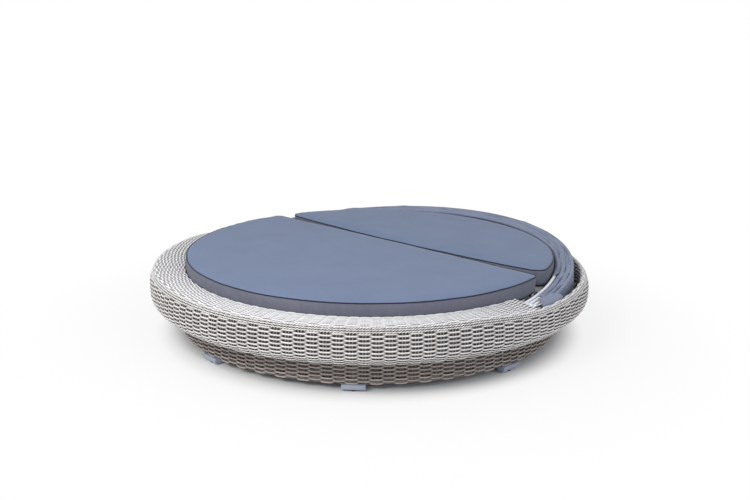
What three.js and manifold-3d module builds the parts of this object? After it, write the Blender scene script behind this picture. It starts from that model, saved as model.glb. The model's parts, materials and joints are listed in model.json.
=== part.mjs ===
// Round outdoor daybed with a folding canopy, modelled in millimetres with +Z up.
// The origin is the middle of the ring on the floor. The front of the bed looks along -Y,
// the folded canopy lies in the rear half (+Y), and its bows turn about a line along X.
import * as THREE from 'three';
import { mergeVertices } from 'three/addons/utils/BufferGeometryUtils.js';
import Module from 'manifold-3d';

const wasm = await Module();
wasm.setup();

// Clearances
const seat = 0.3;
const cutOverrun = 10;

// Feet and glides
const footCount = 8;
const footTurn = -5;
const footWidth = 98;
const footDepth = 42;
const footHeight = 25;
const footProud = 8;
const glideDiameter = 22;
const glideHeight = 6;
const glideStemDiameter = 10;
const glideStemLength = 15;
const glideFit = 0.5;

// Base, below the overhanging ring
const ringDiameter = 2100;
const ringOverhang = 138;
const baseHeight = 127;
const weaveWall = 6;
const tubeSize = 20;
const weld = 2;
const lowerRingOffset = 46;

// Ring: outer wall, front shelf and the well that holds the folded canopy
const ringDepth = 158;
const rearRimDrop = 24;
const rimWidth = 34;
const wellSpace = 31;
const curbWall = 6;
const curbGap = 1.5;
const curbDrop = 20;
const shelfLip = 32;
const shelfFall = 9;
const shelfEdgeRound = 10;
const wellEndOffset = 37;
const rimTubeSetback = 2.7;
const ribCount = 12;
const ribWidth = 12;

// Canopy bows
const bowTube = 16;
const bowPitch = 22;
const bowTilt = 6;
const pivotDrop = 41;
const bossDiameter = 26;
const rodDiameter = 10;
const rodFit = 0.5;
const washerThickness = 1.4;
const washerDiameter = 22;
const bracketPlate = 4;
const bracketWidth = 56;
const bracketCrown = 16;
const rodHeadDiameter = 16;
const rodHeadLength = 5;
const nutDiameter = 18;
const nutLength = 8;
const stayDiameter = 10;

// Canopy fabric
const fabric = 2;
const loopRise = 15;
const hemRise = 5;
const flapDrop = 22;

// Deck and cushions
const deckDrop = 33;
const deckWall = 6;
const deckMargin = 6;
const deckBeamCount = 5;
const deckBeamWidth = 40;
const deckBeamDepth = 22;
const cushionGap = 2;
const cushionThickness = 80;
const cushionCrown = 10;
const cushionPullIn = 14;
const splitOffset = 176;
const splitGap = 2;
const frontEdgeSag = 6;
const rearEdgeSag = 48;
const frontCornerRadius = 34;
const rearCornerRadius = 62;

// Angles in degrees: every round piece is sampled on this grid, so that facets line up
const gridStep = 7.5;
const sameAngleShare = 0.01;
const rimSlopeTurn = 22.5;
const sideGoreStart = 6;
const frontGoreStart = 22.5;
const stayAngles = { right: 45, rear: 90, left: 135 };

// Sides of the small round pieces
const boreSides = 12;
const smallSides = 8;
const tubeSides = 8;
const nutSides = 6;

// Radii, worked out from the outside in
const ringRadius = ringDiameter / 2;
const baseRadius = ringRadius - ringOverhang;
const rimInner = ringRadius - rimWidth;
const wellWallOuter = rimInner - seat;
const wellWallInner = wellWallOuter - weaveWall;
const wrapStep = 360 / tubeSides;
const wrapCorner = Math.cos(THREE.MathUtils.degToRad(wrapStep / 2));
const wrapRadius = bowTube / 2 + (seat + fabric / 2) / wrapCorner;
const sleeveOuter = bowTube / 2 + (seat + fabric) / wrapCorner;
const rearBowRadius = wellWallInner - wellSpace - sleeveOuter;
const thirdBowRadius = rearBowRadius - bowPitch;
const secondBowRadius = thirdBowRadius - bowPitch;
const frontBowRadius = secondBowRadius - bowPitch;
const curbOuter = frontBowRadius - sleeveOuter - curbGap;
const curbInner = curbOuter - curbWall;
const cushionRadius = curbInner - cushionGap;
const deckRadius = cushionRadius - deckMargin;

// Heights above the floor
const baseBottom = glideHeight + seat + footHeight + seat;
const ringBottom = baseBottom + baseHeight;
const ringTop = ringBottom + ringDepth;
const strutBottom = ringBottom + weaveWall + seat;
const strutTop = strutBottom + tubeSize;
const wellFloorBottom = strutTop + seat;
const wellFloorTop = wellFloorBottom + weaveWall;
const deckTop = ringTop - deckDrop;
const deckBottom = deckTop - deckWall;
const deckRingTop = deckBottom - seat;
const pivotHeight = ringTop - pivotDrop;

// Colours, as red, green and blue in one hexadecimal number
const finish = {
  weave: { color: 0xb9b6b6, roughness: 0.62, metalness: 0 },
  shadedWeave: { color: 0x8f8886, roughness: 0.66, metalness: 0 },
  frame: { color: 0x8d9196, roughness: 0.45, metalness: 0.6 },
  foot: { color: 0x98a0b0, roughness: 0.5, metalness: 0.2 },
  glide: { color: 0x1b1c1e, roughness: 0.6, metalness: 0 },
  bow: { color: 0xe4e6ea, roughness: 0.38, metalness: 0.1 },
  steel: { color: 0xb4b7ba, roughness: 0.3, metalness: 0.9 },
  nylon: { color: 0x2a2b2d, roughness: 0.55, metalness: 0 },
  canopyCloth: { color: 0x7b8295, roughness: 0.85, metalness: 0 },
  cushionCloth: { color: 0x7c8aa5, roughness: 0.88, metalness: 0 },
};

const radians = THREE.MathUtils.degToRad;
const facetShare = Math.cos(radians(gridStep / 2));
const part = new THREE.Group();
const canopy = new THREE.Group();
canopy.position.z = pivotHeight;
canopy.rotation.x = radians(bowTilt);
part.add(canopy);

/** Adds a named mesh to a group. */
function addPiece(name, geometry, look, group = part) {
  const mesh = new THREE.Mesh(geometry, new THREE.MeshStandardMaterial(look));
  mesh.name = name;
  group.add(mesh);
  return mesh;
}

/** Turns every face round if the faces of a closed geometry point in. */
function faceOutward(geometry) {
  const places = geometry.attributes.position;
  const corners = geometry.index.array;
  const [a, b, c] = [new THREE.Vector3(), new THREE.Vector3(), new THREE.Vector3()];
  let volume = 0;
  for (let i = 0; i < corners.length; i += 3) {
    a.fromBufferAttribute(places, corners[i]);
    b.fromBufferAttribute(places, corners[i + 1]);
    c.fromBufferAttribute(places, corners[i + 2]);
    volume += a.dot(b.cross(c));
  }
  if (volume < 0) {
    for (let i = 0; i < corners.length; i += 3) {
      [corners[i + 1], corners[i + 2]] = [corners[i + 2], corners[i + 1]];
    }
  }
  return geometry;
}

/** The triangles that fill an outline, all running the same way round as the outline. */
function capTriangles(outline) {
  const way = Math.sign(THREE.ShapeUtils.area(outline));
  return THREE.ShapeUtils.triangulateShape(outline, []).map(([p, q, r]) => {
    const turns = Math.sign(THREE.ShapeUtils.area([outline[p], outline[q], outline[r]]));
    return turns === way ? [p, q, r] : [p, r, q];
  });
}

/** Skins a row of equal rings of points, closed on itself or with two flat caps. */
function loft(rings, outline, closed = false) {
  const size = rings[0].length;
  const corners = [];
  const spans = closed ? rings.length : rings.length - 1;
  for (let i = 0; i < spans; i += 1) {
    const next = ((i + 1) % rings.length) * size;
    for (let j = 0; j < size; j += 1) {
      const along = (j + 1) % size;
      corners.push(i * size + j, i * size + along, next + along);
      corners.push(i * size + j, next + along, next + j);
    }
  }
  if (!closed) {
    const last = (rings.length - 1) * size;
    for (const [p, q, r] of capTriangles(outline)) {
      corners.push(p, r, q);
      corners.push(last + p, last + q, last + r);
    }
  }
  const geometry = new THREE.BufferGeometry().setFromPoints(rings.flat());
  geometry.setIndex(corners);
  return faceOutward(geometry);
}

/** The angles in degrees from one to another, with every grid angle between them. */
function gridAngles(from, to) {
  const angles = [from];
  const tiny = gridStep * sameAngleShare;
  for (let k = Math.ceil((from + tiny) / gridStep); k * gridStep < to - tiny; k += 1) {
    angles.push(k * gridStep);
  }
  angles.push(to);
  return angles;
}

/** How far a flat facet of the grid lies from the middle at an angle, as a share of the radius. */
function chordShare(angle) {
  const facetMiddle = (Math.floor(angle / gridStep) + 1 / 2) * gridStep;
  return facetShare / Math.cos(radians(angle - facetMiddle));
}

/** The place on the faceted circle of a radius, at an angle and a height. */
function onCircle(radius, angle, height) {
  const reach = radius * chordShare(angle);
  return new THREE.Vector3(reach * Math.cos(radians(angle)), reach * Math.sin(radians(angle)), height);
}

/** The places of a section of [radius, height] points at an angle. */
function sectionAt(section, angle) {
  return section.map(([radius, height]) => onCircle(radius, angle, height));
}

/** Sweeps a section of [radius, height] points about Z between two angles. */
function sweepArc(section, from, to) {
  const outline = section.map(([radius, height]) => new THREE.Vector2(radius, height));
  return loft(gridAngles(from, to).map((angle) => sectionAt(section, angle)), outline);
}

/** Sweeps a section of [radius, height] points all the way round Z. */
function sweepRing(section) {
  return sweepChangingRing(() => section);
}

/** As sweepRing, for a section that is given as a function of the angle. */
function sweepChangingRing(sectionFor) {
  const angles = gridAngles(0, 360).slice(1);
  return loft(angles.map((angle) => sectionAt(sectionFor(angle), angle)), [], true);
}

/** A rectangle of [radius, height] points. */
function band(inner, outer, bottom, top) {
  return [[inner, bottom], [outer, bottom], [outer, top], [inner, top]];
}

/** Gives an open line of [x, y] points a wall to its left, and closes it. */
function thicken(line, wall) {
  const far = line.map((point, i) => {
    const before = line[Math.max(i - 1, 0)];
    const after = line[Math.min(i + 1, line.length - 1)];
    const into = unit(i ? before : point, i ? point : after);
    const out = unit(i < line.length - 1 ? point : before, i < line.length - 1 ? after : point);
    const stretch = wall / (1 + into[0] * out[0] + into[1] * out[1]);
    return [point[0] - (into[1] + out[1]) * stretch, point[1] + (into[0] + out[0]) * stretch];
  });
  return [...line, ...far.reverse()];
}

/** The direction from one [x, y] point to another. */
function unit(from, to) {
  const length = Math.hypot(to[0] - from[0], to[1] - from[1]);
  return [(to[0] - from[0]) / length, (to[1] - from[1]) / length];
}

/** Makes a manifold solid from a closed geometry. */
function toSolid(geometry) {
  const bare = geometry.clone();
  bare.deleteAttribute('normal');
  bare.deleteAttribute('uv');
  const merged = mergeVertices(bare);
  return new wasm.Manifold(new wasm.Mesh({
    numProp: 3,
    vertProperties: new Float32Array(merged.attributes.position.array),
    triVerts: new Uint32Array(merged.index.array),
  }));
}

/** Makes a geometry from a manifold solid. */
function toGeometry(solid) {
  const mesh = solid.getMesh();
  const geometry = new THREE.BufferGeometry();
  const places = new Float32Array(mesh.vertProperties);
  geometry.setAttribute('position', new THREE.BufferAttribute(places, 3));
  geometry.setIndex(new THREE.BufferAttribute(new Uint32Array(mesh.triVerts), 1));
  return geometry;
}

/** Joins geometries into one solid. */
function join(geometries) {
  return geometries.map(toSolid).reduce((whole, solid) => whole.add(solid));
}

/** A box whose corners are given by its least and greatest places. */
function boxBetween(x0, x1, y0, y1, z0, z1) {
  const box = new THREE.BoxGeometry(x1 - x0, y1 - y0, z1 - z0);
  return box.translate((x0 + x1) / 2, (y0 + y1) / 2, (z0 + z1) / 2);
}

/** A cylinder along X between two places. */
function cylinderAlongX(diameter, x0, x1, sides = boreSides) {
  const cylinder = new THREE.CylinderGeometry(diameter / 2, diameter / 2, x1 - x0, sides);
  return cylinder.rotateZ(Math.PI / 2).translate((x0 + x1) / 2, 0, 0);
}

/** A standing cylinder between two heights. */
function cylinderAlongZ(diameter, z0, z1, sides = boreSides) {
  const cylinder = new THREE.CylinderGeometry(diameter / 2, diameter / 2, z1 - z0, sides);
  return cylinder.rotateX(Math.PI / 2).translate(0, 0, (z0 + z1) / 2);
}

// Feet and glides

/** The angle of one foot round the base, in degrees. */
function footAngle(index) {
  return footTurn + (index * 360) / footCount;
}

/** One foot block, with the blind hole for its glide's stem. */
function footGeometry() {
  const outer = baseRadius + footProud;
  const bottom = glideHeight + seat;
  const half = footWidth / 2;
  const block = boxBetween(outer - footDepth, outer, -half, half, bottom, bottom + footHeight);
  const holeTop = glideHeight + glideStemLength + 2 * seat;
  const holeWidth = glideStemDiameter + 2 * glideFit;
  const hole = cylinderAlongZ(holeWidth, bottom - cutOverrun, holeTop, smallSides);
  hole.translate(outer - footDepth / 2, 0, 0);
  return toGeometry(toSolid(block).subtract(toSolid(hole)));
}

/** One levelling glide: a round pad and its stem. */
function glideGeometry() {
  const stem = cylinderAlongZ(glideStemDiameter, glideHeight / 2, glideHeight + glideStemLength, smallSides);
  const pad = cylinderAlongZ(glideDiameter, 0, glideHeight);
  return toGeometry(join([pad, stem])).translate(baseRadius + footProud - footDepth / 2, 0, 0);
}

for (let i = 0; i < footCount; i += 1) {
  addPiece(`foot_${i + 1}`, footGeometry(), finish.foot).rotation.z = radians(footAngle(i));
  addPiece(`glide_${i + 1}`, glideGeometry(), finish.glide).rotation.z = radians(footAngle(i));
}

// Welded base frame: bottom ring, legs and struts

const baseTubeOuter = baseRadius - weaveWall - seat;
const baseTubeInner = baseTubeOuter - tubeSize;
const deckRingOuter = deckRadius - deckMargin;
const deckRingInner = deckRingOuter - tubeSize;
const deckRingBottom = deckRingTop - deckBeamDepth;
const lowerRingInner = baseTubeOuter + lowerRingOffset;
const lowerRingOuter = lowerRingInner + tubeSize;
const strutWide = tubeSize / 2;
const postWide = strutWide - weld;

/** The ring that stands on the feet, with a leg and a strut over each foot. */
function baseFrameGeometry() {
  const baseRingTop = baseBottom + tubeSize;
  const pieces = [sweepRing(band(baseTubeInner, baseTubeOuter, baseBottom, baseRingTop))];
  const reach = lowerRingInner * facetShare - seat;
  for (let i = 0; i < footCount; i += 1) {
    const leg = boxBetween(baseTubeInner + weld, baseTubeOuter - weld, -postWide, postWide,
      baseRingTop - weld, strutBottom + weld);
    const strut = boxBetween(deckRingInner + weld, reach, -strutWide, strutWide,
      strutBottom, strutTop);
    pieces.push(leg.rotateZ(radians(footAngle(i))), strut.rotateZ(radians(footAngle(i))));
  }
  return toGeometry(join(pieces));
}

// Deck ring, which stands on the struts by short posts

/** The ring that carries the deck's beams, with a post down to each strut. */
function deckRingGeometry() {
  const pieces = [sweepRing(band(deckRingInner, deckRingOuter, deckRingBottom, deckRingTop))];
  for (let i = 0; i < footCount; i += 1) {
    const post = boxBetween(deckRingInner + 2 * weld, deckRingOuter - weld, -postWide, postWide,
      strutTop + seat, deckRingBottom + weld);
    pieces.push(post.rotateZ(radians(footAngle(i))));
  }
  return toGeometry(join(pieces));
}

addPiece('base_frame', baseFrameGeometry(), finish.frame);
addPiece('deck_ring', deckRingGeometry(), finish.frame);

// Welded ring frame: lower ring, rim ring, ribs and the front shelf's bearer

const outerFaceShares = [
  [0, 0], [0.14, 0], [0.4, 0.07], [0.76, 0.16], [0.96, 0.29], [1, 0.42], [1, 0.57],
  [0.94, 0.7], [0.76, 0.82], [0.46, 0.92], [0.2, 0.985], [0.08, 1], [0, 1],
];

/** How far the rim lies below the ring's top at an angle: it is lower all along the well. */
function rimDropAt(angle) {
  const pastWell = Math.min(angle - 180, 360 - angle);
  return rearRimDrop * (1 - THREE.MathUtils.smoothstep(pastWell, 0, rimSlopeTurn));
}

/** The height of the lower rim's outside at a radius, on its way in over the top. */
function rimHeightAt(radius) {
  const across = Math.min((radius - rimInner) / rimWidth, 1);
  const before = outerFaceShares.findLastIndex(([share]) => share >= across);
  const [from, to] = outerFaceShares.slice(before, before + 2);
  const rise = ((across - from[0]) / (to[0] - from[0])) * (to[1] - from[1]);
  return ringBottom + (from[1] + rise) * (ringDepth - rearRimDrop);
}

const rearRimTop = ringTop - rearRimDrop;
const rimTubeInner = rimInner + rimTubeSetback;
const rimTubeOuter = rimTubeInner + tubeSize;
const rimTubeTop = rimHeightAt(rimTubeOuter + weaveWall + seat) - weaveWall - seat;
const rimTubeBottom = rimTubeTop - tubeSize;
const shelfTubeInner = curbInner + weaveWall + weld;
const shelfTubeTop = ringTop - shelfFall - weaveWall - 2 * weld;
const wellEndTurn = THREE.MathUtils.radToDeg(Math.asin(wellEndOffset / ((curbInner + rimInner) / 2)));
const endPlateTurn = THREE.MathUtils.radToDeg((weaveWall / 2 + 2 * seat) / curbInner);
const frontStart = 180 + wellEndTurn + 2 * endPlateTurn;
const frontEnd = 360 - wellEndTurn - 2 * endPlateTurn;

/** The outline of one rib in [radius, height], from the lower ring up to the rim tube. */
function ribOutline() {
  const foot = strutBottom + weaveWall;
  const kneeHeight = wellFloorTop + weld;
  return [
    [lowerRingOuter - weld, foot],
    [rimInner - weld, foot],
    [rimTubeInner + weld, strutTop],
    [rimTubeOuter - weld, rimTubeBottom + weld],
    [rimTubeInner + weld, rimTubeBottom + weld],
    [rimInner + 2 * seat, kneeHeight],
    [rimInner + 2 * seat, strutTop],
    [lowerRingOuter - weld, strutTop],
  ];
}

/** The outline of one arm, which slopes from the shelf's bearer down to the rim tube. */
function armOutline() {
  const [inner, outer] = [shelfTubeInner + tubeSize - weld, rimTubeInner + weld];
  const [innerTop, outerTop] = [shelfTubeTop - weld, rimTubeTop - weld];
  return [
    [inner, innerTop - ribWidth], [outer, outerTop - ribWidth], [outer, outerTop], [inner, innerTop],
  ];
}

/** A plate cut to an outline of [radius, height] points, standing along a radius. */
function radialPlate(outline, width) {
  const shape = new THREE.Shape(outline.map(([radius, height]) => new THREE.Vector2(radius, height)));
  const plate = new THREE.ExtrudeGeometry(shape, { depth: width, bevelEnabled: false });
  return plate.rotateX(Math.PI / 2).translate(0, width / 2, 0);
}

/** The welded ring frame. */
function ringFrameGeometry() {
  const pieces = [
    sweepRing(band(lowerRingInner, lowerRingOuter, strutBottom, strutTop)),
    sweepRing(band(rimTubeInner, rimTubeOuter, rimTubeBottom, rimTubeTop)),
    sweepArc(band(shelfTubeInner, shelfTubeInner + tubeSize, shelfTubeTop - tubeSize, shelfTubeTop),
      frontStart + endPlateTurn, frontEnd - endPlateTurn),
  ];
  for (let i = 0; i < ribCount; i += 1) {
    const angle = ((i + 1 / 2) * 360) / ribCount;
    pieces.push(radialPlate(ribOutline(), ribWidth).rotateZ(radians(angle)));
    if (angle > 180) {
      pieces.push(radialPlate(armOutline(), ribWidth).rotateZ(radians(angle)));
    }
  }
  return toGeometry(join(pieces));
}

addPiece('ring_frame', ringFrameGeometry(), finish.frame);

// Deck: tube beams inside the deck ring, under one woven panel

/** One deck beam, as long as the deck ring allows at its place. */
function deckBeamGeometry(x) {
  const reach = deckRingInner * facetShare - seat;
  const halfLength = Math.sqrt(reach ** 2 - (Math.abs(x) + deckBeamWidth / 2) ** 2) - seat;
  return boxBetween(x - deckBeamWidth / 2, x + deckBeamWidth / 2, -halfLength, halfLength,
    deckRingBottom, deckRingTop);
}

for (let i = 0; i < deckBeamCount; i += 1) {
  const x = ((i + 1) / (deckBeamCount + 1) - 1 / 2) * 2 * deckRingInner;
  addPiece(`deck_beam_${i + 1}`, deckBeamGeometry(x), finish.frame);
}

addPiece('deck_weave', cylinderAlongZ(2 * deckRadius, deckBottom, deckTop, 360 / gridStep),
  finish.weave);

// Weave shells

const shelfWidth = wellWallOuter - curbInner;
const shelfLevelShare = 0.8;
const shelfShares = [[1, 0], [shelfLevelShare, 0], [0.3, 0.5], [0.03, 1]];

/** The outer wall with its rounded rim, which runs lower along the well. */
function outerWeaveGeometry() {
  return sweepChangingRing((angle) => {
    const depth = ringDepth - rimDropAt(angle);
    const line = outerFaceShares.map(([across, up]) =>
      [rimInner + across * rimWidth, ringBottom + up * depth]);
    return thicken(line, weaveWall);
  });
}

/** The front shelf: it falls a little towards the cushion, and near the well towards the rim. */
function shelfWeaveGeometry() {
  const sections = gridAngles(frontStart, frontEnd).map((angle) => {
    const line = shelfShares.map(([across, fall]) => [
      curbInner + across * shelfWidth,
      ringTop - fall * shelfFall - rimDropAt(angle) * Math.min(across / shelfLevelShare, 1),
    ]);
    line.push([curbInner, ringTop - shelfFall - shelfEdgeRound], [curbInner, ringTop - shelfLip]);
    return { angle, points: thicken(line, weaveWall) };
  });
  const outline = sections[0].points.map(([radius, height]) => new THREE.Vector2(radius, height));
  return loft(sections.map(({ angle, points }) => sectionAt(points, angle)), outline);
}

/** A woven plate that closes the front half of the ring where the well ends. */
function shelfEndGeometry() {
  const outer = wellWallOuter * facetShare;
  return radialPlate([
    [curbInner, wellFloorBottom], [outer, wellFloorBottom], [outer, rearRimTop],
    [curbInner + shelfLevelShare * shelfWidth, rearRimTop], [curbInner, ringTop - shelfFall],
  ], weaveWall);
}

const undersideTop = ringBottom + weaveWall;
const baseWall = band(baseRadius - weaveWall, baseRadius, baseBottom, undersideTop);
const underside = band(baseRadius + seat, rimInner - seat, ringBottom, undersideTop);
const wellWall = band(wellWallInner, wellWallOuter, wellFloorBottom, rearRimTop - seat);
const wellFloor = band(curbOuter + seat, wellWallInner - seat, wellFloorBottom, wellFloorTop);
const curb = band(curbInner, curbOuter, wellFloorBottom, ringTop - curbDrop);
const wellArc = [-wellEndTurn, 180 + wellEndTurn];
const curbArc = [sideGoreStart, 180 - sideGoreStart];
const endPlateMiddle = wellEndTurn + endPlateTurn;

addPiece('base_weave', sweepRing(baseWall), finish.shadedWeave);
addPiece('underside_weave', sweepRing(underside), finish.shadedWeave);
addPiece('outer_weave', outerWeaveGeometry(), finish.weave);
addPiece('shelf_weave', shelfWeaveGeometry(), finish.weave);
addPiece('well_wall_weave', sweepArc(wellWall, ...wellArc), finish.weave);
addPiece('well_floor_weave', sweepArc(wellFloor, ...wellArc), finish.shadedWeave);
addPiece('curb_weave', sweepArc(curb, ...curbArc), finish.weave);
addPiece('shelf_end_right', shelfEndGeometry(), finish.weave).rotation.z = radians(-endPlateMiddle);
addPiece('shelf_end_left', shelfEndGeometry(), finish.weave).rotation.z = radians(180 + endPlateMiddle);

// Canopy bows: half hoops nested side by side, turning on one rod at each end

const bossLength = bowPitch - washerThickness - 2 * seat;
const boreDiameter = rodDiameter + 2 * rodFit;

/** One bow: a tube bent to a half circle, with a bored boss at each end. */
function bowGeometry(radius) {
  const tube = [];
  for (let i = 0; i < tubeSides; i += 1) {
    const turn = (i * 2 * Math.PI) / tubeSides;
    tube.push([radius + (bowTube / 2) * Math.cos(turn), (bowTube / 2) * Math.sin(turn)]);
  }
  let bow = toSolid(sweepArc(tube, 0, 180));
  for (const side of [-1, 1]) {
    const [x0, x1] = [side * radius - bossLength / 2, side * radius + bossLength / 2];
    bow = bow.add(toSolid(cylinderAlongX(bossDiameter, x0, x1)));
    bow = bow.subtract(toSolid(cylinderAlongX(boreDiameter, x0 - cutOverrun, x1 + cutOverrun)));
  }
  return toGeometry(bow);
}

addPiece('bow_front', bowGeometry(frontBowRadius), finish.bow, canopy);
addPiece('bow_second', bowGeometry(secondBowRadius), finish.bow, canopy);
addPiece('bow_third', bowGeometry(thirdBowRadius), finish.bow, canopy);
addPiece('bow_rear', bowGeometry(rearBowRadius), finish.bow, canopy);

/** The place at a distance from the pivots' middle, in the bows' plane. */
function inBowPlane(radius, angle, lift = 0) {
  const place = onCircle(radius, angle, lift);
  place.applyAxisAngle(new THREE.Vector3(1, 0, 0), radians(bowTilt));
  place.z += pivotHeight;
  return place;
}

/** One stay that holds the rear bow up from the well's floor. */
function stayGeometry(angle) {
  const head = inBowPlane(rearBowRadius, angle);
  const top = head.z - bowTube / 2 - (stayDiameter / 2) * Math.sin(radians(bowTilt)) - seat;
  return cylinderAlongZ(stayDiameter, wellFloorTop + seat, top).translate(head.x, head.y, 0);
}

for (const [place, angle] of Object.entries(stayAngles)) {
  addPiece(`bow_stay_${place}`, stayGeometry(angle), finish.bow);
}

// Hinges: a bent bracket, a rod with a head, its nut, and washers between the bows

const innerCheek = frontBowRadius - bossLength / 2 - seat;
const outerCheek = rearBowRadius + bossLength / 2 + seat;
const nutStart = outerCheek + bracketPlate + seat;
const nutEnd = nutStart + nutLength;

/** The right bracket: a base and two cheeks bent up from it, bored for the rod. */
function bracketGeometry() {
  const half = bracketWidth / 2;
  const bottom = wellFloorTop + seat;
  const top = pivotHeight + bracketCrown;
  const [x0, x1] = [innerCheek - bracketPlate, outerCheek + bracketPlate];
  const bent = join([
    boxBetween(x0, x1, -half, half, bottom, bottom + bracketPlate),
    boxBetween(x0, innerCheek, -half, half, bottom, top),
    boxBetween(outerCheek, x1, -half, half, bottom, top),
  ]);
  const bore = cylinderAlongX(boreDiameter, x0 - cutOverrun, x1 + cutOverrun).translate(0, 0, pivotHeight);
  return toGeometry(bent.subtract(toSolid(bore)));
}

/** The right rod, from its head inside the inner cheek to past its nut. */
function rodGeometry() {
  const x0 = innerCheek - bracketPlate - seat;
  const shank = cylinderAlongX(rodDiameter, x0 - rodHeadLength / 2, nutEnd);
  const head = cylinderAlongX(rodHeadDiameter, x0 - rodHeadLength, x0);
  return toGeometry(join([shank, head])).translate(0, 0, pivotHeight);
}

/** A ring round the rod, which lies along X. */
function ringAlongX(diameter, x0, x1, sides = boreSides) {
  const body = toSolid(cylinderAlongX(diameter, x0, x1, sides));
  const bored = body.subtract(toSolid(cylinderAlongX(boreDiameter, x0 - cutOverrun, x1 + cutOverrun)));
  return toGeometry(bored).translate(0, 0, pivotHeight);
}

for (const [side, turn] of [['right', 0], ['left', Math.PI]]) {
  const nut = ringAlongX(nutDiameter, nutStart, nutEnd, nutSides);
  addPiece(`hinge_bracket_${side}`, bracketGeometry(), finish.steel).rotation.z = turn;
  addPiece(`hinge_rod_${side}`, rodGeometry(), finish.steel).rotation.z = turn;
  addPiece(`hinge_nut_${side}`, nut, finish.steel).rotation.z = turn;
  [frontBowRadius, secondBowRadius, thirdBowRadius].forEach((radius, i) => {
    const start = radius + bossLength / 2 + seat;
    const washer = ringAlongX(washerDiameter, start, start + washerThickness);
    addPiece(`hinge_washer_${side}_${i + 1}`, washer, finish.nylon).rotation.z = turn;
  });
}

// Canopy fabric: each gore wraps its bow, hangs in one deep fold and comes up to the next bow

const loopBottom = wellFloorTop + loopRise;

/** The middle line of a wrap over a bow, as places in space, from one tube angle down to another. */
function wrapLine(radius, angle, from, to) {
  const places = [];
  for (let turn = from; turn >= to; turn -= wrapStep) {
    const [along, lift] = [Math.cos(radians(turn)) * wrapRadius, Math.sin(radians(turn)) * wrapRadius];
    places.push(inBowPlane(radius + along, angle, lift));
  }
  return places;
}

/** Gives a line of places in an upright radial plane the cloth's thickness, as one ring. */
function clothRing(places, angle) {
  const outward = new THREE.Vector3(Math.cos(radians(angle)), Math.sin(radians(angle)), 0);
  const flat = places.map((place) => [place.dot(outward), place.z]);
  const wall = thicken(flat, fabric / 2).slice(flat.length).reverse();
  const other = thicken(flat, -fabric / 2).slice(flat.length);
  const section = [...wall, ...other];
  const ring = section.map(([across, up], i) => {
    const source = places[i < places.length ? i : section.length - 1 - i];
    const shift = across - source.dot(outward);
    return new THREE.Vector3(source.x + outward.x * shift, source.y + outward.y * shift, up);
  });
  return { ring, outline: section.map(([across, up]) => new THREE.Vector2(across, up)) };
}

/** A cloth between two angles, whose line at each angle is given by a function. */
function clothGeometry(lineAt, from, to) {
  const slices = gridAngles(from, to).map((angle) => clothRing(lineAt(angle), angle));
  return loft(slices.map((slice) => slice.ring), slices[0].outline);
}

/** One gore: over its bow, down into the well, and up to the side of the next bow out. */
function goreGeometry(radius, start, wrapFrom) {
  return clothGeometry((angle) => {
    const line = wrapLine(radius, angle, wrapFrom, 0);
    const leave = inBowPlane(radius + wrapRadius, angle);
    const arrive = inBowPlane(radius + bowPitch - wrapRadius, angle);
    const bottom = (place) => new THREE.Vector3(place.x, place.y, loopBottom);
    const topGap = arrive.clone();
    topGap.z -= fabric / 2;
    return [...line.slice(0, -1), leave, bottom(leave), bottom(arrive), topGap];
  }, start, 180 - start);
}

/** The skirt: over the rear bow and down to a hem, with a flap across each end of the folds. */
function skirtGeometry() {
  const start = sideGoreStart - THREE.MathUtils.radToDeg((fabric + 2 * seat) / frontBowRadius);
  const curtain = clothGeometry((angle) => {
    const line = wrapLine(rearBowRadius, angle, 180 - wrapStep, 0);
    const leave = line[line.length - 1];
    return [...line, new THREE.Vector3(leave.x, leave.y, wellFloorTop + hemRise)];
  }, start, 180 - start);
  const outline = band(innerCheek + fabric, rearBowRadius + wrapRadius, wellFloorTop + hemRise,
    pivotHeight - flapDrop);
  const turn = radians(start) + fabric / 2 / rearBowRadius;
  const right = radialPlate(outline, fabric).rotateZ(turn);
  const left = radialPlate(outline, fabric).rotateZ(Math.PI - turn);
  return toGeometry(join([curtain, right, left]));
}

addPiece('canopy_front_gore', goreGeometry(frontBowRadius, frontGoreStart, 180 + wrapStep),
  finish.canopyCloth);
addPiece('canopy_middle_gore', goreGeometry(secondBowRadius, sideGoreStart, 180 - wrapStep),
  finish.canopyCloth);
addPiece('canopy_rear_gore', goreGeometry(thirdBowRadius, sideGoreStart, 180 - wrapStep),
  finish.canopyCloth);
addPiece('canopy_skirt', skirtGeometry(), finish.canopyCloth);

// Cushions: half moons with rounded corners, sides that pull in and a crown on top

const arcPoints = 34;
const cornerPoints = 5;
const edgePoints = 9;

/** Points on a circle between two angles in radians, both ends included. */
function arcLine(centre, radius, from, to, count) {
  const points = [];
  for (let i = 0; i < count; i += 1) {
    const turn = from + ((to - from) * i) / (count - 1);
    points.push(new THREE.Vector2(centre.x + radius * Math.cos(turn), centre.y + radius * Math.sin(turn)));
  }
  return points;
}

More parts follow.
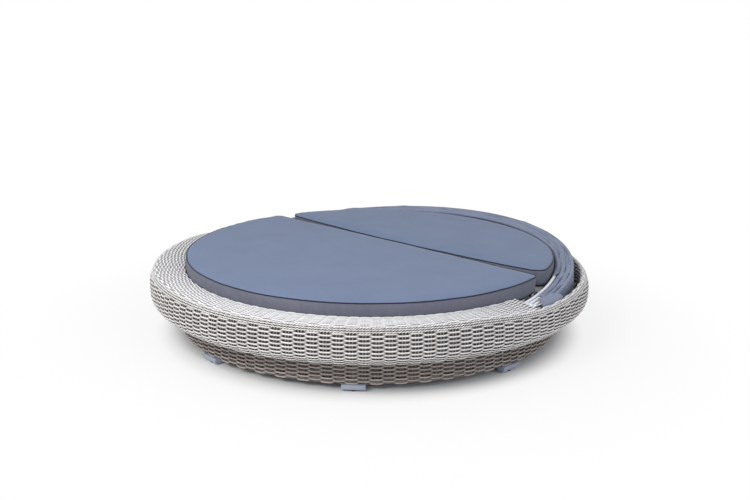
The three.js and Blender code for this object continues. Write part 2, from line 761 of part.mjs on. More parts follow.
/**
 * The outline of a half moon, pulled in by an inset. The side is 1 for the rear and -1 for the
 * front cushion. Its split edge is a flat arc that bulges towards the other cushion.
 */
function halfMoon(side, sag, corner, inset) {
  const nearEdge = side * splitOffset + splitGap / 2;
  const edgeRadius = (cushionRadius ** 2 + sag ** 2) / (2 * sag);
  const edgeCentre = nearEdge + edgeRadius;
  const [round, edge, fillet] = [cushionRadius - inset, edgeRadius - inset, corner - inset];
  const y = ((round - fillet) ** 2 - (edge - fillet) ** 2 + edgeCentre ** 2) / (2 * edgeCentre);
  const x = Math.sqrt((round - fillet) ** 2 - y ** 2);
  const out = Math.atan2(y, x);
  const down = Math.atan2(y - edgeCentre, x);
  const points = [
    ...arcLine(new THREE.Vector2(0, 0), round, out, Math.PI - out, arcPoints),
    ...arcLine(new THREE.Vector2(-x, y), fillet, Math.PI - out, Math.PI - down, cornerPoints).slice(1, -1),
    ...arcLine(new THREE.Vector2(0, edgeCentre), edge, -Math.PI - down, down, edgePoints),
    ...arcLine(new THREE.Vector2(x, y), fillet, down, out, cornerPoints).slice(1, -1),
  ];
  return points.map((point) => new THREE.Vector2(point.x, side * point.y));
}

// Inset as a share of the pull-in, and height as a share of the thickness
const sideShares = [
  [1, 0], [0.35, 0.1], [0, 0.35], [0.15, 0.65], [0.32, 0.88], [0.05, 0.93], [0.12, 0.985], [0.6, 1],
];
const crownShares = [0.88, 0.66, 0.4, 0.12];

/** One cushion. */
function cushionGeometry(side, sag, corner) {
  const bottom = deckTop + seat;
  const middle = new THREE.Vector2(0, (splitOffset + side * cushionRadius) / 2);
  const rings = sideShares.map(([inset, up]) => halfMoon(side, sag, corner, inset * cushionPullIn)
    .map((point) => new THREE.Vector3(point.x, point.y, bottom + up * cushionThickness)));
  const rim = halfMoon(side, sag, corner, cushionPullIn);
  for (const share of crownShares) {
    const height = bottom + cushionThickness + cushionCrown * (1 - share ** 2);
    rings.push(rim.map((point) => {
      const place = point.clone().sub(middle).multiplyScalar(share).add(middle);
      return new THREE.Vector3(place.x, place.y, height);
    }));
  }
  return loft(rings, rim);
}

addPiece('cushion_front', cushionGeometry(-1, frontEdgeSag, frontCornerRadius), finish.cushionCloth);
addPiece('cushion_rear', cushionGeometry(1, rearEdgeSag, rearCornerRadius), finish.cushionCloth);

export default part;
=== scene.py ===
"""Dresses the round outdoor daybed: woven strand, cushions, folded canopy cloth, metal and studio."""
import json
import logging
import math
from dataclasses import dataclass
from enum import Enum
from functools import partial
from typing import Callable

import bpy
import numpy as np
from mathutils import Matrix, Vector, noise
from mathutils.bvhtree import BVHTree


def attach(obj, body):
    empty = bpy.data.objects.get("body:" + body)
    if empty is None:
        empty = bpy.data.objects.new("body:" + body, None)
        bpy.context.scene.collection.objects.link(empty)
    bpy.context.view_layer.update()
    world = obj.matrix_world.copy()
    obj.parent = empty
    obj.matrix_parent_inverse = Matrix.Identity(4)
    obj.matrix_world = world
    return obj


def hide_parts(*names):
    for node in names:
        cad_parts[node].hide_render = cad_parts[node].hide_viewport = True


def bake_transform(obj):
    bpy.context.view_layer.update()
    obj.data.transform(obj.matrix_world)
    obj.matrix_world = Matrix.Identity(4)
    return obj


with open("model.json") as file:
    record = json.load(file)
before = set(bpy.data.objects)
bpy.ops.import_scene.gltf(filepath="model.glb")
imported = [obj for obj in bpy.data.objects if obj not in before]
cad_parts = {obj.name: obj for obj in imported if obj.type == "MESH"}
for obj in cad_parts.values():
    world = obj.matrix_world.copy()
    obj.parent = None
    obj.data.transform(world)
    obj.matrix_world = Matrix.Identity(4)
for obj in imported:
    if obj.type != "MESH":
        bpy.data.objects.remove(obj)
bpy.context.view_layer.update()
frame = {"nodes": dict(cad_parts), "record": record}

LOG = logging.getLogger("daybed")
Pair = tuple[float, float]


def linear(code: str) -> tuple[float, float, float, float]:
    """Turns an sRGB hex value into a linear colour.

    Args:
        code: six hex digits.

    Returns:
        Red, green, blue and alpha.
    """
    shares = [int(code[i:i + 2], 16) / 255 for i in (0, 2, 4)]
    return (*[s / 12.92 if s <= 0.04045 else ((s + 0.055) / 1.055) ** 2.4 for s in shares], 1.0)


def add_node(tree: bpy.types.NodeTree, kind: str, inputs: dict | None = None,
             **settings: object) -> bpy.types.Node:
    """Adds a node with its settings and links.

    Args:
        tree: the tree it goes into.
        kind: the node's type name.
        inputs: a value, or an output to link, for each input by name or number.
        settings: the node's own properties.

    Returns:
        The new node.
    """
    node = tree.nodes.new(kind)
    for name, value in settings.items():
        setattr(node, name, value)
    for key, value in (inputs or {}).items():
        if isinstance(value, bpy.types.NodeSocket):
            tree.links.new(value, node.inputs[key])
        else:
            node.inputs[key].default_value = value
    return node


def sums(tree: bpy.types.NodeTree) -> Callable[..., bpy.types.NodeSocket]:
    """A function that adds one sum to a tree and returns its output."""
    def add(operation: str, *values: object) -> bpy.types.NodeSocket:
        return add_node(tree, "ShaderNodeMath", dict(enumerate(values)), operation=operation).outputs[0]
    return add


def smooth(share: float) -> float:
    """Eases a share from 0 to 1."""
    share = min(max(share, 0.0), 1.0)
    return share * share * (3 - 2 * share)


def mesh_object(name: str, points: list, faces: list, materials: list | None = None) -> bpy.types.Object:
    """Makes a smooth-shaded mesh object at the origin.

    Args:
        name: its name.
        points: its corners, in metres.
        faces: corner numbers of each face.
        materials: the materials of its slots.

    Returns:
        The new object.
    """
    mesh = bpy.data.meshes.new(name)
    mesh.from_pydata([tuple(p) for p in points], [], faces)
    mesh.polygons.foreach_set("use_smooth", [True] * len(mesh.polygons))
    for material in materials or []:
        mesh.materials.append(material)
    made = bpy.data.objects.new(name, mesh)
    bpy.context.collection.objects.link(made)
    return made


def grid_faces(rows: int, columns: int, closed: bool = False) -> list:
    """The faces between rows of equal length, turned so that they face row x column."""
    faces = []
    for i in range(rows - 1):
        for j in range(columns if closed else columns - 1):
            k = (j + 1) % columns
            faces.append((i * columns + j, (i + 1) * columns + j,
                          (i + 1) * columns + k, i * columns + k))
    return faces


def settle(piece: bpy.types.Object) -> bpy.types.Object:
    """Turns a piece with live modifiers into a plain mesh.

    Args:
        piece: the object, whose modifiers are then removed.

    Returns:
        The same object.
    """
    graph = bpy.context.evaluated_depsgraph_get()
    mesh = bpy.data.meshes.new_from_object(piece.evaluated_get(graph))
    piece.modifiers.clear()
    piece.data = mesh
    mesh.name = piece.name
    return piece


def grow(piece: bpy.types.Object, tree: bpy.types.NodeTree, sizes: dict) -> bpy.types.Object:
    """Runs a node tree on a piece with its sizes set by socket identifier, and settles it.

    Args:
        piece: the object that carries the input geometry.
        tree: the geometry node tree.
        sizes: a value for each named input.

    Returns:
        The same object, as a plain mesh.
    """
    modifier = piece.modifiers.new(tree.name, "NODES")
    modifier.node_group = tree
    for item in tree.interface.items_tree:
        if item.in_out == "INPUT" and item.name in sizes:
            modifier[item.identifier] = sizes[item.name]
    return settle(piece)


def new_tree(name: str, inputs: list[tuple[str, str]]) -> bpy.types.NodeTree:
    """Starts a geometry node tree with named inputs and one geometry output."""
    tree = bpy.data.node_groups.new(name, "GeometryNodeTree")
    for title, kind in inputs:
        tree.interface.new_socket(title, in_out="INPUT", socket_type="NodeSocket" + kind)
    tree.interface.new_socket("Geometry", in_out="OUTPUT", socket_type="NodeSocketGeometry")
    return tree


# ---------------------------------------------------------------- finishes


@dataclass(frozen=True)
class Strand:
    """Extruded polyethylene strand: matt, with fine lengthwise lines, a tone of its own each and painted shade where it
    dips behind the stakes.
    """

    name: str
    light: str
    dark: str
    recess_shade: str
    roughness: float = 0.5

    def make(self) -> bpy.types.Material:
        """Builds the material."""
        material = bpy.data.materials.new(self.name)
        material.use_nodes = True
        tree = material.node_tree
        shader = tree.nodes["Principled BSDF"]
        place = add_node(tree, "ShaderNodeTexCoord").outputs["Object"]
        tone = add_node(tree, "ShaderNodeAttribute", attribute_name="tone").outputs["Fac"]
        depth = add_node(tree, "ShaderNodeAttribute", attribute_name="depth").outputs["Fac"]
        # Blotches about 60 mm across: the strand comes from the extruder unevenly tinted
        blotch = add_node(tree, "ShaderNodeTexNoise", {"Vector": place, "Scale": 16.0, "Detail": 3.0})
        mixed = add_node(tree, "ShaderNodeMath", {0: tone, 1: blotch.outputs["Fac"]}, operation="ADD")
        share = add_node(tree, "ShaderNodeMapRange", {"Value": mixed.outputs[0], "From Min": 0.45,
                                                      "From Max": 1.45})
        colour = add_node(tree, "ShaderNodeMix", {0: share.outputs[0], 6: linear(self.dark),
                                                  7: linear(self.light)}, data_type="RGBA")
        # Painted shade: the colour turns to a dark shade colour where the strand dips behind the stakes, standing in
        # for the shadow there
        unshaded_share = add_node(tree, "ShaderNodeMapRange", {"Value": depth, "From Min": 0.15, "From Max": 0.75})
        shaded = add_node(tree, "ShaderNodeMix", {0: unshaded_share.outputs[0], 6: linear(self.recess_shade),
                                                  7: colour.outputs[2]}, data_type="RGBA")
        tree.links.new(shaded.outputs[2], shader.inputs["Base Color"])
        # Draw lines about 1 mm apart, left by the die
        lines = add_node(tree, "ShaderNodeTexNoise", {"Vector": place, "Scale": 700.0, "Detail": 1.0})
        bump = add_node(tree, "ShaderNodeBump", {"Height": lines.outputs["Fac"], "Strength": 0.25,
                                                 "Distance": 0.0004})
        tree.links.new(bump.outputs[0], shader.inputs["Normal"])
        rough = add_node(tree, "ShaderNodeMapRange", {"Value": blotch.outputs["Fac"],
                                                      "To Min": self.roughness - 0.08,
                                                      "To Max": self.roughness + 0.12})
        tree.links.new(rough.outputs[0], shader.inputs["Roughness"])
        shader.inputs["IOR"].default_value = 1.5
        return material


@dataclass(frozen=True)
class Cloth:
    """Woven outdoor cloth: thread grid in the bump, long slubs in the colour, soft sheen."""

    name: str
    light: str
    dark: str
    thread_mm: float = 1.6
    slub: float = 1.0
    wrinkle: float = 0.0
    uv: bool = False

    def make(self) -> bpy.types.Material:
        """Builds the material."""
        material = bpy.data.materials.new(self.name)
        material.use_nodes = True
        tree = material.node_tree
        shader = tree.nodes["Principled BSDF"]
        source = add_node(tree, "ShaderNodeTexCoord").outputs["UV" if self.uv else "Object"]
        # Slubs: thick stretches of weft about 60 mm long and 3 mm wide
        slubs = add_node(tree, "ShaderNodeMapping", {"Vector": source, "Scale": (14.0, 260.0, 14.0)})
        streak = add_node(tree, "ShaderNodeTexNoise", {"Vector": slubs.outputs[0], "Scale": 1.0,
                                                       "Detail": 2.0})
        fade = add_node(tree, "ShaderNodeTexNoise", {"Vector": source, "Scale": 5.0, "Detail": 2.0})
        both = add_node(tree, "ShaderNodeMath", {0: streak.outputs["Fac"], 1: self.slub,
                                                 2: fade.outputs["Fac"]}, operation="MULTIPLY_ADD")
        share = add_node(tree, "ShaderNodeMapRange", {"Value": both.outputs[0], "From Min": 0.35,
                                                      "From Max": 0.6 + self.slub})
        colour = add_node(tree, "ShaderNodeMix", {0: share.outputs[0], 6: linear(self.dark),
                                                  7: linear(self.light)}, data_type="RGBA")
        tree.links.new(colour.outputs[2], shader.inputs["Base Color"])
        # Plain weave, one sine each way per pair of threads
        turns = math.tau / (2 * self.thread_mm / 1000)
        fine = add_node(tree, "ShaderNodeVectorMath", {0: source, "Scale": turns}, operation="SCALE")
        parts = add_node(tree, "ShaderNodeSeparateXYZ", {0: fine.outputs[0]})
        warp = add_node(tree, "ShaderNodeMath", {0: parts.outputs[0]}, operation="SINE")
        weft = add_node(tree, "ShaderNodeMath", {0: parts.outputs[1]}, operation="SINE")
        weave = add_node(tree, "ShaderNodeMath", {0: warp.outputs[0], 1: weft.outputs[0]},
                         operation="MULTIPLY")
        bump = add_node(tree, "ShaderNodeBump", {"Height": weave.outputs[0], "Strength": 0.35,
                                                 "Distance": 0.0003})
        last = bump
        if self.uv:
            # Slack creases about 90 mm long and 12 mm apart, slanting along the cut cloth
            slant = add_node(tree, "ShaderNodeMapping", {"Vector": source, "Rotation": (0.0, 0.0, 0.12),
                                                         "Scale": (11.0, 80.0, 1.0)})
            crease = add_node(tree, "ShaderNodeTexNoise", {"Vector": slant.outputs[0], "Scale": 1.0,
                                                           "Detail": 2.0, "Distortion": 0.6})
            last = add_node(tree, "ShaderNodeBump", {"Height": crease.outputs["Fac"], "Strength": 0.8,
                                                     "Distance": 0.006, "Normal": bump.outputs[0]})
        if self.wrinkle:
            # Drag wrinkles about 25 mm apart, upright and a little slanted, from the sewn edges
            parts = add_node(tree, "ShaderNodeSeparateXYZ", {0: source})
            turn = add_node(tree, "ShaderNodeMath", {0: parts.outputs[1], 1: parts.outputs[0]},
                            operation="ARCTAN2")
            lean = add_node(tree, "ShaderNodeMath", {0: parts.outputs[2], 1: 0.35, 2: turn.outputs[0]},
                            operation="MULTIPLY_ADD")
            spot = add_node(tree, "ShaderNodeCombineXYZ", {0: lean.outputs[0], 1: parts.outputs[2]})
            wide = add_node(tree, "ShaderNodeMapping", {"Vector": spot.outputs[0],
                                                        "Scale": (34.0, 5.0, 1.0)})
            crease = add_node(tree, "ShaderNodeTexNoise", {"Vector": wide.outputs[0], "Scale": 1.0,
                                                           "Detail": 3.0, "Distortion": 0.4})
            last = add_node(tree, "ShaderNodeBump", {"Height": crease.outputs["Fac"],
                                                     "Strength": self.wrinkle, "Distance": 0.004,
                                                     "Normal": bump.outputs[0]})
        tree.links.new(last.outputs[0], shader.inputs["Normal"])
        shader.inputs["Roughness"].default_value = 0.88
        shader.inputs["Specular IOR Level"].default_value = 0.25
        shader.inputs["Sheen Weight"].default_value = 0.12
        shader.inputs["Sheen Roughness"].default_value = 0.5
        return material


@dataclass(frozen=True)
class Hard:
    """A hard finish: one colour with cloudy variation, a grain in the bump and worn roughness."""

    name: str
    light: str
    dark: str
    roughness: float
    metallic: float = 0.0
    coat: float = 0.0
    grain: tuple[float, float, float] = (400.0, 400.0, 400.0)
    depth_mm: float = 0.05

    def make(self) -> bpy.types.Material:
        """Builds the material."""
        material = bpy.data.materials.new(self.name)
        material.use_nodes = True
        tree = material.node_tree
        shader = tree.nodes["Principled BSDF"]
        place = add_node(tree, "ShaderNodeTexCoord").outputs["Object"]
        cloud = add_node(tree, "ShaderNodeTexNoise", {"Vector": place, "Scale": 22.0, "Detail": 4.0})
        colour = add_node(tree, "ShaderNodeMix", {0: cloud.outputs["Fac"], 6: linear(self.dark),
                                                  7: linear(self.light)}, data_type="RGBA")
        tree.links.new(colour.outputs[2], shader.inputs["Base Color"])
        rough = add_node(tree, "ShaderNodeMapRange", {"Value": cloud.outputs["Fac"],
                                                      "To Min": self.roughness - 0.07,
                                                      "To Max": self.roughness + 0.07})
        tree.links.new(rough.outputs[0], shader.inputs["Roughness"])
        scaled = add_node(tree, "ShaderNodeMapping", {"Vector": place, "Scale": self.grain})
        grit = add_node(tree, "ShaderNodeTexNoise", {"Vector": scaled.outputs[0], "Scale": 1.0})
        bump = add_node(tree, "ShaderNodeBump", {"Height": grit.outputs["Fac"], "Strength": 0.4,
                                                 "Distance": self.depth_mm / 1000})
        tree.links.new(bump.outputs[0], shader.inputs["Normal"])
        shader.inputs["Metallic"].default_value = self.metallic
        shader.inputs["Coat Weight"].default_value = self.coat
        return material


@dataclass(frozen=True)
class WovenPanel:
    """Woven strand where it only shows end on or in shade: rows and columns in colour and bump."""

    name: str
    light: str
    dark: str

    def make(self) -> bpy.types.Material:
        """Builds the material."""
        material = bpy.data.materials.new(self.name)
        material.use_nodes = True
        tree = material.node_tree
        shader = tree.nodes["Principled BSDF"]
        maths = sums(tree)
        place = add_node(tree, "ShaderNodeTexCoord").outputs["Object"]
        parts = add_node(tree, "ShaderNodeSeparateXYZ", {0: place}).outputs
        # Strand rows 8.5 mm apart, over stakes 49 mm apart; the dark colour between rows is painted shade
        across = maths("ABSOLUTE", maths("SINE", maths("MULTIPLY", parts[0], math.pi / 0.049)))
        row = maths("ADD", maths("MULTIPLY", maths("ADD", parts[2], parts[1]), math.pi / 0.0085),
                    maths("MULTIPLY", across, 0.8))
        rib = maths("ABSOLUTE", maths("SINE", row))
        colour = add_node(tree, "ShaderNodeMix", {0: rib, 6: linear(self.dark), 7: linear(self.light)},
                          data_type="RGBA")
        tree.links.new(colour.outputs[2], shader.inputs["Base Color"])
        bump = add_node(tree, "ShaderNodeBump", {"Height": rib, "Strength": 0.8, "Distance": 0.002})
        tree.links.new(bump.outputs[0], shader.inputs["Normal"])
        grit = add_node(tree, "ShaderNodeTexNoise", {"Vector": place, "Scale": 90.0})
        rough = add_node(tree, "ShaderNodeMapRange", {"Value": grit.outputs["Fac"], "To Min": 0.45, "To Max": 0.7})
        tree.links.new(rough.outputs[0], shader.inputs["Roughness"])
        return material


@dataclass(frozen=True)
class Finishes:
    """Every finish of the daybed, made once."""

    # Light grey half-round strand, with painted shade where it dips behind the stakes
    strand: Strand = Strand("Polyethylene strand, light grey", "e1dedd", "bbb6b4", "3a302c")
    # The same strand on the flat shelf and the crest, lighter all over as painted light on these upward faces, with a
    # paler painted shade behind the stakes
    shelf_strand: Strand = Strand("Polyethylene strand, lit", "f4f4f5", "dcdbdd", "958f8e")
    # The same strand low down and inside, darker and browner as painted shade, since these parts lie in shadow
    low_strand: Strand = Strand("Polyethylene strand, shaded", "b9aea9", "988d87", "453a35", 0.6)
    # The same strand on the shelf's ends and the deck, which show only as flat panels, with painted shade in the
    # grooves between rows
    panel: WovenPanel = WovenPanel("Polyethylene strand, woven panel", "dcdadb", "4a423e")
    # Blue-grey acrylic cloth with a slubby weft; the border copy is greyer and darker, partly its own hue and partly
    # painted shade on the side and bottom faces
    seat_top: Cloth = Cloth("Slub acrylic, cushion panel", "72809e", "65738d")
    seat_side: Cloth = Cloth("Slub acrylic, cushion border", "6f717f", "5f606e", wrinkle=0.5)
    # The near-black cord sewn into each seam
    piping: Cloth = Cloth("Piping cord cover", "2a2c38", "1e1f29", thread_mm=1.0)
    # Lighter, closer canopy cloth, which shows its folds
    canopy: Cloth = Cloth("Woven polyester, canopy", "8890a6", "7a8299", 1.2, 0.4, uv=True)
    # Fine orange peel of powder coat
    powder: Hard = Hard("White powder coat", "eceef2", "dfe1e6", 0.38, coat=0.15)
    # Brushed, then dulled by weather
    stainless: Hard = Hard("Satin stainless steel", "c9cbcc", "a9abac", 0.3, 1.0, 0.0, (60, 900, 900))
    aluminium: Hard = Hard("Mill-finish aluminium", "b5b8bb", "989b9f", 0.42, 1.0, 0.0, (900, 900, 60))
    # Spark-eroded mould texture
    foot: Hard = Hard("Moulded grey polypropylene", "a3aabb", "8f97a8", 0.5, depth_mm=0.1)
    rubber: Hard = Hard("Black moulded rubber", "202124", "16171a", 0.62)
    nylon: Hard = Hard("Black nylon", "2c2d30", "1f2022", 0.45)


# ---------------------------------------------------------------- woven strand


class Part(Enum):
    """Which part of the round a shell covers, as first and last angle in degrees."""

    FRONT = (180.0, 360.0)
    REAR = (0.0, 180.0)


@dataclass
class Shell:
    """One woven surface of revolution: its line in [radius, height] and its strand sizes, in metres."""

    name: str
    nodes: tuple[str, ...]
    line: list[Pair]
    spans: list[Pair]
    stakes: int
    slot: str
    finish: str = "strand"
    pitch: float = 0.0085
    width: float = 0.0076
    thick: float = 0.0034
    swing: float = 0.0032
    sag: float = 0.0020
    drift: float = 0.0005
    steps: int = 6
    stake_thick: float = 0.0030
    stake_gap: float = 0.0115
    inset: float = 0.0045
    falls: Callable[[float, float], float] = lambda radius, height: 0.0

    def fine_line(self) -> list[Pair]:
        """The line as a smooth curve, sampled every 2 mm or so.

        Returns:
            Points in [radius, height].
        """
        points = [np.array(p) for p in self.line]
        points = [2 * points[0] - points[1], *points, 2 * points[-1] - points[-2]]
        fine = []
        for a, b, c, d in zip(points, points[1:], points[2:], points[3:]):
            count = max(2, round(float(np.linalg.norm(c - b)) / 0.002))
            for t in np.arange(count) / count:
                fine.append(0.5 * (2 * b + (c - a) * t + (2 * a - 5 * b + 4 * c - d) * t ** 2
                                   + (3 * b - a - 3 * c + d) * t ** 3))
        fine.append(points[-2])
        return [tuple(p) for p in fine]

    def rows(self) -> list[dict]:
        """The place and the facing of each strand row.

        Returns:
            One dict of attribute values for each row.
        """
        fine = np.array(self.fine_line())
        way = np.gradient(fine, axis=0)
        way /= np.linalg.norm(way, axis=1)[:, None]
        gone = np.concatenate([[0], np.cumsum(np.linalg.norm(np.diff(fine, axis=0), axis=1))])
        count = max(2, round(gone[-1] / self.pitch))
        rows = []
        for i in range(count):
            at = gone[-1] * (i + 0.5) / count
            spot = [float(np.interp(at, gone, fine[:, k])) for k in (0, 1)]
            along = [float(np.interp(at, gone, way[:, k])) for k in (0, 1)]
            out = (along[1], -along[0])
            rows.append({"radius": spot[0] - out[0] * self.inset, "height": spot[1] - out[1] * self.inset,
                         "out_r": out[0], "out_z": out[1], "along_r": along[0], "along_z": along[1],
                         "phase": math.pi * (i % 2), "tilt": math.atan2(-out[1], out[0]),
                         "fall": self.falls(*spot),
                         "tone": 0.5 + 0.5 * noise.noise(Vector((i * 1.7, self.stakes, 0.3)))})
        return rows

    def seed_points(self, name: str) -> bpy.types.Object:
        """One point for each row, with its values as attributes."""
        rows = self.rows()
        seeds = mesh_object(name, [(0, 0, row["height"]) for row in rows], [])
        for key in rows[0]:
            layer = seeds.data.attributes.new(key, "FLOAT", "POINT")
            layer.data.foreach_set("value", [row[key] for row in rows])
        return seeds

    def stake_line(self, name: str) -> bpy.types.Object:
        """The line that a stake follows, as a chain of edges in the XZ plane."""
        fine = np.array(self.fine_line())[::3]
        way = np.gradient(fine, axis=0)
        way /= np.linalg.norm(way, axis=1)[:, None]
        points = [(r - w[1] * self.inset, 0, z + w[0] * self.inset) for (r, z), w in zip(fine, way)]
        mesh = bpy.data.meshes.new(name)
        mesh.from_pydata(points, [(i, i + 1) for i in range(len(points) - 1)], [])
        mesh.attributes.new("fall", "FLOAT", "POINT").data.foreach_set("value", [self.falls(*p) for p in fine])
        made = bpy.data.objects.new(name, mesh)
        bpy.context.collection.objects.link(made)
        return made


def stored(tree: bpy.types.NodeTree, name: str) -> bpy.types.NodeSocket:
    """The value of a stored attribute in a geometry node tree."""
    return add_node(tree, "GeometryNodeInputNamedAttribute", {"Name": name},
                    data_type="FLOAT").outputs["Attribute"]


def rim_fall(tree: bpy.types.NodeTree) -> bpy.types.NodeSocket:
    """How far a point moves down because the rim runs lower along the well.

    Args:
        tree: a geometry node tree, whose points carry the full fall as an attribute.

    Returns:
        The way down at the point's own angle, in metres.
    """
    maths = sums(tree)
    place = add_node(tree, "GeometryNodeInputPosition").outputs[0]
    spot = add_node(tree, "ShaderNodeSeparateXYZ", {0: place})
    angle = maths("ARCTAN2", spot.outputs[1], spot.outputs[0])
    past = maths("MINIMUM", maths("MULTIPLY", angle, -1.0), maths("ADD", angle, math.pi))
    share = add_node(tree, "ShaderNodeMapRange", {
        "Value": past, "From Min": 0.0, "From Max": math.radians(22.5), "To Min": 1.0, "To Max": 0.0},
        interpolation_type="SMOOTHSTEP")
    return maths("MULTIPLY", share.outputs[0], stored(tree, "fall"))


class Weaver:
    """Weaves shells with two geometry node trees: strands along the round, stakes across it."""

    def __init__(self, finishes: dict[str, bpy.types.Material]) -> None:
        """Keeps the finishes and makes the trees."""
        self.finishes = finishes
        self.strands = self.strand_tree()
        self.stakes = self.stake_tree()

    @staticmethod
    def strand_tree() -> bpy.types.NodeTree:
        """Strands that weave in and out along arcs, one for each input point."""
        tree = new_tree("Woven strands", [
            ("Geometry", "Geometry"), ("Stakes", "Float"), ("Swing", "Float"), ("Sag", "Float"),
            ("Twist", "Float"), ("Softness", "Float"), ("Drift", "Float"), ("Width", "Float"),
            ("Thickness", "Float"), ("Narrowing", "Float"), ("Start", "Float"), ("Sweep", "Float"),
            ("Steps", "Int"), ("Strand", "Material")])
        given = add_node(tree, "NodeGroupInput").outputs
        maths, named = sums(tree), partial(stored, tree)
        arc = add_node(tree, "GeometryNodeCurveArc", {
            "Resolution": given["Steps"], "Radius": 1.0, "Start Angle": given["Start"],
            "Sweep Angle": given["Sweep"]})
        size = add_node(tree, "ShaderNodeCombineXYZ", {0: named("radius"), 1: named("radius"), 2: 1.0})
        hoops = add_node(tree, "GeometryNodeInstanceOnPoints", {
            "Points": given["Geometry"], "Instance": arc.outputs[0], "Scale": size.outputs[0]})
        curves = add_node(tree, "GeometryNodeRealizeInstances", {0: hoops.outputs[0]})
        spot = add_node(tree, "ShaderNodeSeparateXYZ", {0: add_node(tree, "GeometryNodeInputPosition").outputs[0]})
        angle = maths("ARCTAN2", spot.outputs[1], spot.outputs[0])
        turn = maths("MULTIPLY_ADD", angle, maths("DIVIDE", given["Stakes"], 2.0), named("phase"))
        swing = maths("COSINE", turn)
        flat = maths("SQRT", maths("MULTIPLY_ADD", swing, swing, given["Softness"]))
        peak = maths("SQRT", maths("ADD", given["Softness"], 1.0))
        wave = maths("MULTIPLY", maths("DIVIDE", swing, flat), peak)
        where = add_node(tree, "GeometryNodeInputPosition").outputs[0]
        stray = add_node(tree, "ShaderNodeTexNoise", {"Vector": where, "Scale": 23.0, "Detail": 1.0})
        drift = maths("MULTIPLY", maths("SUBTRACT", stray.outputs["Fac"], 0.5), given["Drift"])
        outward = maths("MULTIPLY_ADD", wave, given["Swing"], drift)
        along = maths("SUBTRACT", maths("MULTIPLY", maths("SINE", turn), given["Twist"]),
                      maths("MULTIPLY", wave, given["Sag"]))
        along = maths("ADD", along, maths("MULTIPLY", drift, 2.0))
        radial = maths("ADD", maths("MULTIPLY", outward, named("out_r")),
                       maths("MULTIPLY", along, named("along_r")))
        upward = maths("ADD", maths("MULTIPLY", outward, named("out_z")),
                       maths("MULTIPLY", along, named("along_z")))
        shift = add_node(tree, "ShaderNodeCombineXYZ", {
            0: maths("MULTIPLY", radial, maths("COSINE", angle)),
            1: maths("MULTIPLY", radial, maths("SINE", angle)),
            2: maths("SUBTRACT", upward, rim_fall(tree))})
        # How far out the strand lies; the strand finish turns its low values into painted shade
        depth = maths("MULTIPLY_ADD", wave, 0.5, 0.5)
        marked = add_node(tree, "GeometryNodeStoreNamedAttribute", {
            "Geometry": curves.outputs[0], "Name": "depth", "Value": depth}, data_type="FLOAT", domain="POINT")
        moved = add_node(tree, "GeometryNodeSetPosition", {
            "Geometry": marked.outputs[0], "Offset": shift.outputs[0]})
        upright = add_node(tree, "GeometryNodeSetCurveNormal", {0: moved.outputs[0]}, mode="Z_UP")
        leaned = add_node(tree, "GeometryNodeSetCurveTilt", {"Curve": upright.outputs[0], "Tilt": named("tilt")})
        ring = add_node(tree, "GeometryNodeCurvePrimitiveCircle", {"Resolution": 6, "Radius": 0.5})
        girth = add_node(tree, "ShaderNodeCombineXYZ", {0: given["Thickness"], 1: given["Width"], 2: 1.0})
        section = add_node(tree, "GeometryNodeTransform", {"Geometry": ring.outputs[0], "Scale": girth.outputs[0]})
        # The strand lies flat behind the stakes and rolls to a narrow lens in front of them
        broad = maths("SUBTRACT", 1.45, maths("MULTIPLY", named("depth"), given["Narrowing"]))
        tube = add_node(tree, "GeometryNodeCurveToMesh", {
            "Curve": leaned.outputs[0], "Profile Curve": section.outputs[0], "Scale": broad,
            "Fill Caps": True})
        soft = add_node(tree, "GeometryNodeSetShadeSmooth", {"Geometry": tube.outputs[0]})
        whole = add_node(tree, "GeometryNodeRealizeInstances", {0: soft.outputs[0]})
        done = add_node(tree, "GeometryNodeSetMaterial", {"Geometry": whole.outputs[0], "Material": given["Strand"]})
        add_node(tree, "NodeGroupOutput", {0: done.outputs[0]})
        return tree

    @staticmethod
    def stake_tree() -> bpy.types.NodeTree:
        """Pairs of stakes that follow a line, set round the middle at even angles."""
        tree = new_tree("Stake pairs", [
            ("Geometry", "Geometry"), ("Stakes", "Float"), ("Count", "Int"), ("First", "Float"),
            ("Spread", "Float"), ("Thickness", "Float"), ("Strand", "Material")])
        given = add_node(tree, "NodeGroupInput").outputs
        line = add_node(tree, "GeometryNodeMeshToCurve", {0: given["Geometry"]})
        ring = add_node(tree, "GeometryNodeCurvePrimitiveCircle", {"Resolution": 5})
        girth = add_node(tree, "ShaderNodeMath", {0: given["Thickness"], 1: 0.5}, operation="MULTIPLY")
        sized = add_node(tree, "GeometryNodeTransform", {"Geometry": ring.outputs[0]})
        size = add_node(tree, "ShaderNodeCombineXYZ", {0: girth.outputs[0], 1: girth.outputs[0], 2: 1.0})
        tree.links.new(size.outputs[0], sized.inputs["Scale"])
        wire = add_node(tree, "GeometryNodeCurveToMesh", {
            "Curve": line.outputs[0], "Profile Curve": sized.outputs[0], "Fill Caps": True})
        spots = add_node(tree, "GeometryNodeMeshLine", {"Count": given["Count"], "Offset": (0, 0, 0)})
        index = add_node(tree, "GeometryNodeInputIndex").outputs[0]
        pair = add_node(tree, "ShaderNodeMath", {0: index, 1: 2.0}, operation="DIVIDE")
        column = add_node(tree, "ShaderNodeMath", {0: pair.outputs[0]}, operation="FLOOR")
        rest = add_node(tree, "ShaderNodeMath", {0: pair.outputs[0]}, operation="FRACT")
        side = add_node(tree, "ShaderNodeMath", {0: rest.outputs[0], 1: 4.0, 2: -1.0}, operation="MULTIPLY_ADD")
        step = add_node(tree, "ShaderNodeMath", {0: math.tau, 1: given["Stakes"]}, operation="DIVIDE")
        even = add_node(tree, "ShaderNodeMath", {0: column.outputs[0], 1: step.outputs[0], 2: given["First"]},
                        operation="MULTIPLY_ADD")
